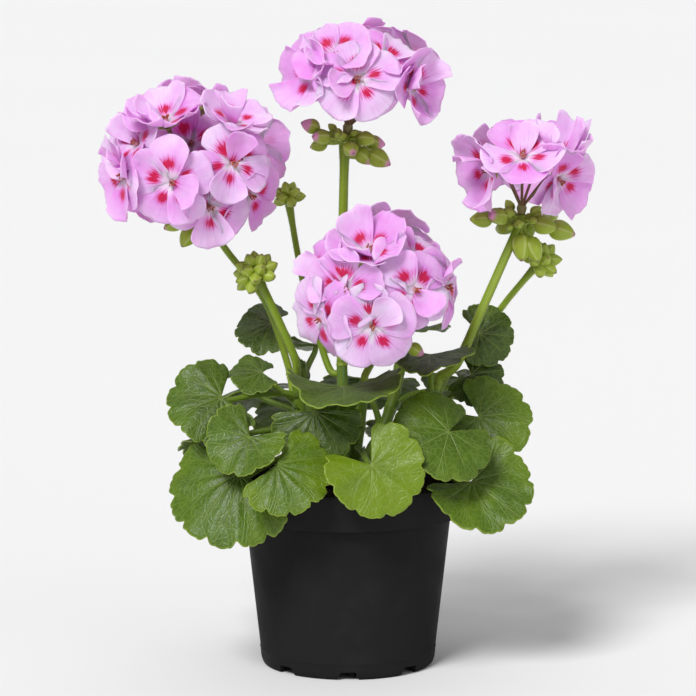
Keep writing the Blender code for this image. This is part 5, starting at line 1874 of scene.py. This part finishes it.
@dataclass(frozen=True)
class BudHead(StalkedHead):
    """A closed head, and the ball of buds at its stalk's end."""
    centre: tuple
    ball_radius: float
    bud_count: int
    bud_length: float
    seed: int

    def build(self, wardrobe: Wardrobe, shoots: dict) -> None:
        """Builds the stalk and its ball of buds."""
        name = "bud_head_" + self.name
        centre = point(*self.centre)
        line, share, radii = self.stalk(shoots, centre)
        axis = unit(line[-1] - line[-4])
        stalks = Strands()
        stalks.add(line, radii + 0.7 * smooth_step(0.9, 1.0, share), 0.15)
        self.settle_stalk(wardrobe, name, stalks, hub_line(centre, axis), 1.9, (0.0, 1.0),
                          self.seed)
        buds = MeshPile()
        add_bract_ring(buds, centre - axis * 2.0, axis, HUB_RADIUS)
        turn = Vector(tuple(axis)).to_track_quat("Z", "Y")
        for index in range(self.bud_count):
            height = 1.0 - 1.5 * (index + 0.5) / self.bud_count
            spread = math.sqrt(1.0 - height ** 2)
            angle = GOLDEN_TURN * index
            out = turn @ Vector((spread * math.cos(angle), spread * math.sin(angle), height))
            outward = point(*out)
            add_bud(buds, centre, centre + outward * (self.ball_radius - self.bud_length),
                    centre + outward * self.ball_radius, 0.1, axis)
        settle(name + "_buds", buds.to_mesh(name + "_buds"), wardrobe.bud)


def side_seat(turn: float, height: float) -> tuple[tuple, tuple]:
    """Where a shoot leaves the main stem's side, and its heading. Turn 0 faces the front."""
    angle = math.radians(turn)
    heading = (math.sin(angle), -math.cos(angle), 0.0)
    reach = MAIN_STEM_RADIUS + SEAT_GAP
    return (heading[0] * reach, heading[1] * reach, height), heading


def top_seat() -> tuple[tuple, tuple]:
    """Where a shoot carries on from the main stem's top, and its heading."""
    return (0.0, 0.0, MAIN_STEM_TOP + SEAT_GAP), (0.0, 0.0, 1.0)


SHOOTS = (
    Shoot("leafy_stem_left", *side_seat(-85.0, 91.5), (-25.0, -8.0, 141.0), (-0.1, -0.05, 1.0), (
        Leaf(0.42, (-52.0, -50.0, 103.0), (-73.0, -62.0, 82.0), 38.0, 0.62,
             (-0.30, -0.85, 0.42), (0.4, 0.5), 0.0, (0.05, 3.0, 0.5), 0.52),
        Leaf(0.88, (-61.0, -35.0, 138.0), (-84.0, -43.0, 132.0), 27.0, 0.74,
             (-0.20, -0.80, 0.56), (0.4, 0.2), -0.05, (0.10, 3.5, 0.3), 0.42),
        Leaf(0.62, (-60.0, -6.0, 117.5), (-91.0, -10.0, 108.5), 26.0, 0.74,
             (-0.10, 0.35, 0.93), (0.3, 0.3), 0.0, (0.06, 3.0, 1.0), 0.25),
        Leaf(0.55, (-47.0, -55.0, 122.0), (-62.0, -66.0, 106.0), 22.0, 0.80,
             (-0.10, -0.80, 0.60), (0.3, -0.6), 0.0, (0.06, 3.0, 0.0), 0.45),
        Leaf(0.80, (-42.0, -12.0, 146.5), (-58.0, -14.0, 147.0), 17.5, 0.74,
             (-0.05, -0.40, 0.91), (0.3, 0.2), 0.0, (0.12, 4.0, 0.2), 0.38),
    )),
    Shoot("leafy_stem_front", *side_seat(5.0, 94.0), (8.0, -24.0, 144.0), (0.1, -0.15, 1.0), (
        Leaf(0.92, (-2.0, -42.0, 144.0), (-2.0, -66.0, 142.0), 32.0, 0.78,
             (0.0, -0.30, 0.95), (0.2, -0.55), 0.0, (0.07, 4.0, 0.8), 0.38),
        Leaf(0.66, (-16.0, -42.0, 132.0), (-12.0, -54.0, 108.0), 26.0, 0.60,
             (-0.05, -0.90, 0.42), (0.3, 0.4), 0.0, (0.04, 3.0, 0.0), 0.22),
        Leaf(0.22, (-34.0, -64.0, 110.0), (-7.0, -75.0, 94.0), 28.0, 0.62,
             (0.10, -0.80, 0.60), (0.3, 0.25), 0.04, (0.05, 3.0, 2.0), 0.66),
        Leaf(0.46, (11.0, -65.0, 110.0), (27.0, -75.0, 90.0), 27.0, 0.86,
             (0.05, -0.85, 0.50), (0.35, -0.45), 0.0, (0.06, 3.0, 1.2), 0.92),
    )),
    Shoot("leafy_stem_right", *side_seat(88.0, 91.0), (44.0, -2.0, 140.0), (0.35, 0.0, 1.0), (
        Leaf(0.60, (48.0, -46.0, 123.0), (30.0, -60.0, 117.0), 27.0, 0.97,
             (0.05, -0.85, 0.52), (0.3, 0.2), -0.04, (0.06, 3.0, 0.0), 0.48),
        Leaf(0.75, (64.0, -14.0, 125.0), (82.0, -20.0, 117.0), 27.0, 0.86,
             (0.25, -0.85, 0.45), (0.3, 0.3), 0.03, (0.05, 3.0, 0.5), 0.55),
        Leaf(0.35, (60.0, -36.0, 97.0), (86.0, -50.0, 79.0), 31.0, 0.74,
             (0.10, -0.70, 0.70), (0.2, -0.5), 0.0, (0.10, 3.0, 1.5), 0.55),
        Leaf(0.88, (40.0, -16.0, 156.0), (39.0, -38.0, 153.0), 25.0, 0.72,
             (0.0, -0.45, 0.90), (0.2, -0.5), 0.0, (0.08, 3.0, 0.0), 0.20),
        Leaf(0.86, (65.0, 8.0, 163.0), (82.0, 9.0, 162.0), 18.0, 0.80,
             (-0.20, -0.90, 0.35), (0.4, 0.4), 0.0, (0.06, 3.0, 0.4), 0.12),
        Leaf(0.55, (61.0, 5.0, 143.0), (75.0, 3.0, 138.0), 17.0, 0.80,
             (0.05, -0.85, 0.50), (0.4, 0.4), 0.0, (0.06, 3.0, 0.4), 0.10),
    )),
    Shoot("leafy_stem_back_left", *side_seat(212.0, 98.5), (-24.0, 30.0, 146.0),
          (-0.1, 0.1, 1.0), (
        Leaf(0.95, (-38.0, 16.0, 167.0), (-58.0, 15.0, 166.0), 20.0, 0.78,
             (-0.05, -0.55, 0.82), (0.7, 0.5), 0.06, (0.10, 3.5, 0.0), 0.18),
        Leaf(0.50, (-48.0, 36.0, 132.0), (-72.0, 52.0, 120.0), 32.0, 0.76,
             (-0.35, 0.35, 0.85), (0.5, 0.3), 0.0, (0.06, 3.0, 0.0), 0.36),
        Leaf(0.40, (-20.0, 56.0, 119.0), (-30.0, 81.0, 100.0), 32.0, 0.76,
             (-0.15, 0.70, 0.70), (0.5, 0.3), 0.0, (0.06, 3.0, 2.0), 0.46),
        Leaf(0.85, (-16.0, 50.0, 152.0), (-22.0, 76.0, 147.0), 26.0, 0.76,
             (-0.05, 0.30, 0.95), (0.5, 0.2), 0.12, (0.08, 3.0, 1.0), 0.30),
        Leaf(0.28, (-58.0, 24.0, 105.0), (-86.0, 36.0, 90.0), 31.0, 0.76,
             (-0.60, 0.15, 0.78), (0.4, 0.3), 0.0, (0.06, 3.0, 0.5), 0.50),
    )),
    Shoot("leafy_stem_back_right", *side_seat(152.0, 95.0), (26.0, 32.0, 144.0),
          (0.1, 0.1, 1.0), (
        Leaf(0.50, (10.0, 56.0, 133.0), (12.0, 82.0, 121.0), 30.0, 0.76,
             (0.05, 0.50, 0.85), (0.5, 0.3), 0.0, (0.06, 3.0, 0.0), 0.40),
        Leaf(0.38, (34.0, 52.0, 108.0), (50.0, 76.0, 92.0), 31.0, 0.76,
             (0.30, 0.60, 0.74), (0.4, 0.3), 0.0, (0.06, 3.0, 1.5), 0.52),
        Leaf(0.70, (56.0, 42.0, 136.0), (80.0, 54.0, 124.0), 30.0, 0.76,
             (0.35, 0.35, 0.87), (0.5, 0.3), 0.0, (0.08, 3.0, 0.8), 0.34),
        Leaf(0.96, (30.0, 38.0, 161.0), (40.0, 58.0, 161.0), 23.0, 0.80,
             (0.0, 0.10, 0.99), (0.4, 0.2), 0.14, (0.08, 3.0, 0.0), 0.26),
        Leaf(0.30, (66.0, 16.0, 104.0), (90.0, 26.0, 94.0), 27.0, 0.80,
             (0.55, 0.10, 0.82), (0.4, 0.3), 0.0, (0.06, 3.0, 0.7), 0.48),
    )),
    Shoot("leafy_stem_middle", *top_seat(), (-3.0, 8.0, 150.0), (0.0, 0.05, 1.0), ()),
)

HEADS = (
    FlowerHead(
        "left", "leafy_stem_left", 0.88,
        ((-30.0, 1.0, 150.0), (-40.7, 2.0, 179.8), (-60.0, -2.0, 206.3)), (1.9, 1.6),
        (-71.0, -8.0, 225.0), (-74.0, -10.0, 247.0), (44.0, 38.0, 38.0),
        (Floret(-14.0, 27.5, roll=10.0, tilt=15.0, droop=-6.0),
         Floret(19.5, 5.0, roll=15.0, tilt=4.0, flare=1.0), Floret(-9.0, -3.5, roll=-34.0),
         Floret(-30.0, 15.0, roll=20.0, turn=-10.0, droop=-3.0), Floret(8.0, -16.0, tilt=15.0),
         Floret(27.0, 9.0, Side.BACK, roll=25.0),
         Floret(21.0, 27.0, roll=-20.0, tilt=10.0, droop=-5.0),
         Floret(-34.0, -3.0, turn=-15.0, droop=-3.0), Floret(-12.0, 24.0, Side.BACK),
         Floret(30.0, -13.0, roll=30.0), Floret(-28.0, -8.0, Side.BACK, roll=10.0),
         Floret(8.0, -14.0, Side.BACK, roll=-15.0), Floret(4.0, 34.0, Side.BACK),
         Floret(-2.0, 12.0, roll=20.0, inner=0, depth=0.15)),
        ((-14.0, -4.0, -6.0, 8.0), (-7.0, -6.0, -12.0, 9.0), (2.0, 6.0, -10.0, 8.0),
         (7.0, -6.0, -9.0, 7.0)), 5, 1),
    FlowerHead(
        "top", "leafy_stem_middle", 1.0,
        ((-2.5, 8.0, 175.0), (-2.5, 6.0, 215.0)), (2.6, 2.2),
        (-1.5, 5.0, 259.0), (5.0, 3.0, 286.0), (36.0, 31.0, 28.0),
        (Floret(-25.0, 7.0, roll=20.0, tilt=-6.0, turn=-12.0, droop=-5.0),
         Floret(26.0, 1.0, roll=10.0, turn=10.0, droop=-6.0),
         Floret(-1.0, 4.0, roll=-36.0, tilt=9.0), Floret(14.0, 16.0, roll=15.0),
         Floret(-11.0, 16.5, roll=-10.0, droop=-3.0), Floret(-19.0, 9.0, Side.BACK),
         Floret(5.0, 1.0, Side.BACK, roll=30.0), Floret(-2.0, 23.0, Side.BACK, roll=10.0),
         Floret(25.0, 10.0, Side.BACK)),
        ((-17.0, -4.0, 7.0, 8.0), (-12.0, -9.0, 2.0, 8.0), (-13.0, 2.0, -3.0, 7.0),
         (11.0, -8.0, 1.0, 8.0), (15.0, 3.0, -2.0, 8.0), (10.0, -4.0, -8.0, 9.0),
         (17.0, -6.0, -9.0, 10.0), (4.0, 9.0, -7.0, 8.0), (-6.0, 12.0, 0.0, 8.0),
         (3.0, -11.0, -4.0, 8.0)), 12, 2),
    FlowerHead(
        "right", "leafy_stem_right", 1.0,
        ((53.5, -4.0, 150.0), (65.0, -3.0, 175.2), (77.3, 3.0, 202.2)), (2.6, 2.1),
        (85.0, 8.0, 219.0), (86.0, 5.0, 246.0), (32.0, 25.0, 18.0),
        (Floret(-21.0, 0.0, tilt=-14.0, turn=-26.0, droop=-8.0),
         Floret(17.0, -5.0, roll=10.0, tilt=-6.0, turn=8.0, droop=-4.0),
         Floret(-2.0, 6.0, tilt=24.0, droop=-4.0),
         Floret(19.0, 9.0, roll=20.0, tilt=30.0, turn=-15.0, droop=-13.0),
         Floret(-14.0, 7.0, Side.BACK, roll=20.0), Floret(9.0, 0.0, Side.BACK, roll=-10.0)),
        ((-20.0, -4.0, 1.0, 9.0), (-12.0, -8.0, 3.0, 9.0), (0.0, -5.0, -13.0, 11.0),
         (6.0, -4.0, -14.0, 11.0), (12.0, -6.0, -2.0, 10.0), (20.0, -3.0, -5.0, 11.0),
         (-8.0, 8.0, -4.0, 9.0), (4.0, 11.0, -6.0, 9.0), (14.0, 8.0, 1.0, 9.0),
         (-13.0, 6.0, 2.0, 8.0)), 12, 3),
    FlowerHead(
        "front", "leafy_stem_front", 1.0,
        ((12.0, -22.0, 154.0), (15.0, -24.0, 162.0)), (1.9, 1.7),
        (17.0, -26.0, 170.0), (13.4, -36.0, 188.5), (40.0, 36.0, 37.0),
        (Floret(37.0, 5.0), Floret(18.0, 6.0, roll=5.0, flare=0.5),
         Floret(-2.0, -10.0, roll=31.0, tilt=10.0),
         Floret(-4.0, 26.5, tilt=4.0, droop=-6.0),
         Floret(-15.0, 6.0, roll=-38.0, droop=2.0, flare=1.0, inner=0),
         Floret(8.0, 25.0, Side.BACK), Floret(-30.0, 13.0, roll=-15.0, turn=-15.0),
         Floret(-26.5, -9.0, roll=10.0, turn=-10.0), Floret(-10.0, 12.0, Side.BACK, roll=20.0),
         Floret(19.0, 22.0, roll=20.0), Floret(24.0, 4.0, Side.BACK, roll=-20.0)),
        ((16.0, -4.0, -10.0, 7.0), (10.0, 6.0, -9.0, 7.0)), 4, 4),
)

BUD_HEADS = (
    BudHead("bright", "leafy_stem_left", 1.0,
            ((-26.0, -13.0, 154.0), (-35.6, -14.0, 176.5)), (2.2, 1.9),
            (-44.3, -15.0, 195.0), 12.0, 19, 8.0, 11),
    BudHead("half_open", "leafy_stem_right", 0.78,
            ((56.0, 20.0, 152.0), (70.0, 21.0, 166.0), (80.2, 18.0, 180.0)), (1.8, 1.6),
            (95.0, 16.0, 198.0), 11.0, 13, 8.5, 12),
    BudHead("small", "leafy_stem_middle", 0.9,
            ((-15.0, 14.0, 162.0), (-21.3, 13.0, 184.2), (-25.2, 12.0, 204.2)), (1.9, 1.5),
            (-29.5, 12.0, 230.0), 9.0, 9, 7.0, 13),
)


def main() -> None:
    """Builds the studio, then the geranium from its pot to its flower heads."""
    logging.basicConfig(level=logging.INFO, format="%(message)s")
    Studio().build()
    wardrobe = Wardrobe.made()
    pot = Pot()
    pot.build(wardrobe)
    Soil(pot).build(wardrobe)
    MainStem().build(wardrobe)
    shoots = {shoot.name: shoot for shoot in SHOOTS}
    for seed, shoot in enumerate(SHOOTS):
        shoot.build(wardrobe, seed)
    for head in (*HEADS, *BUD_HEADS):
        head.build(wardrobe, shoots)


if __name__ == "__main__":
    main()
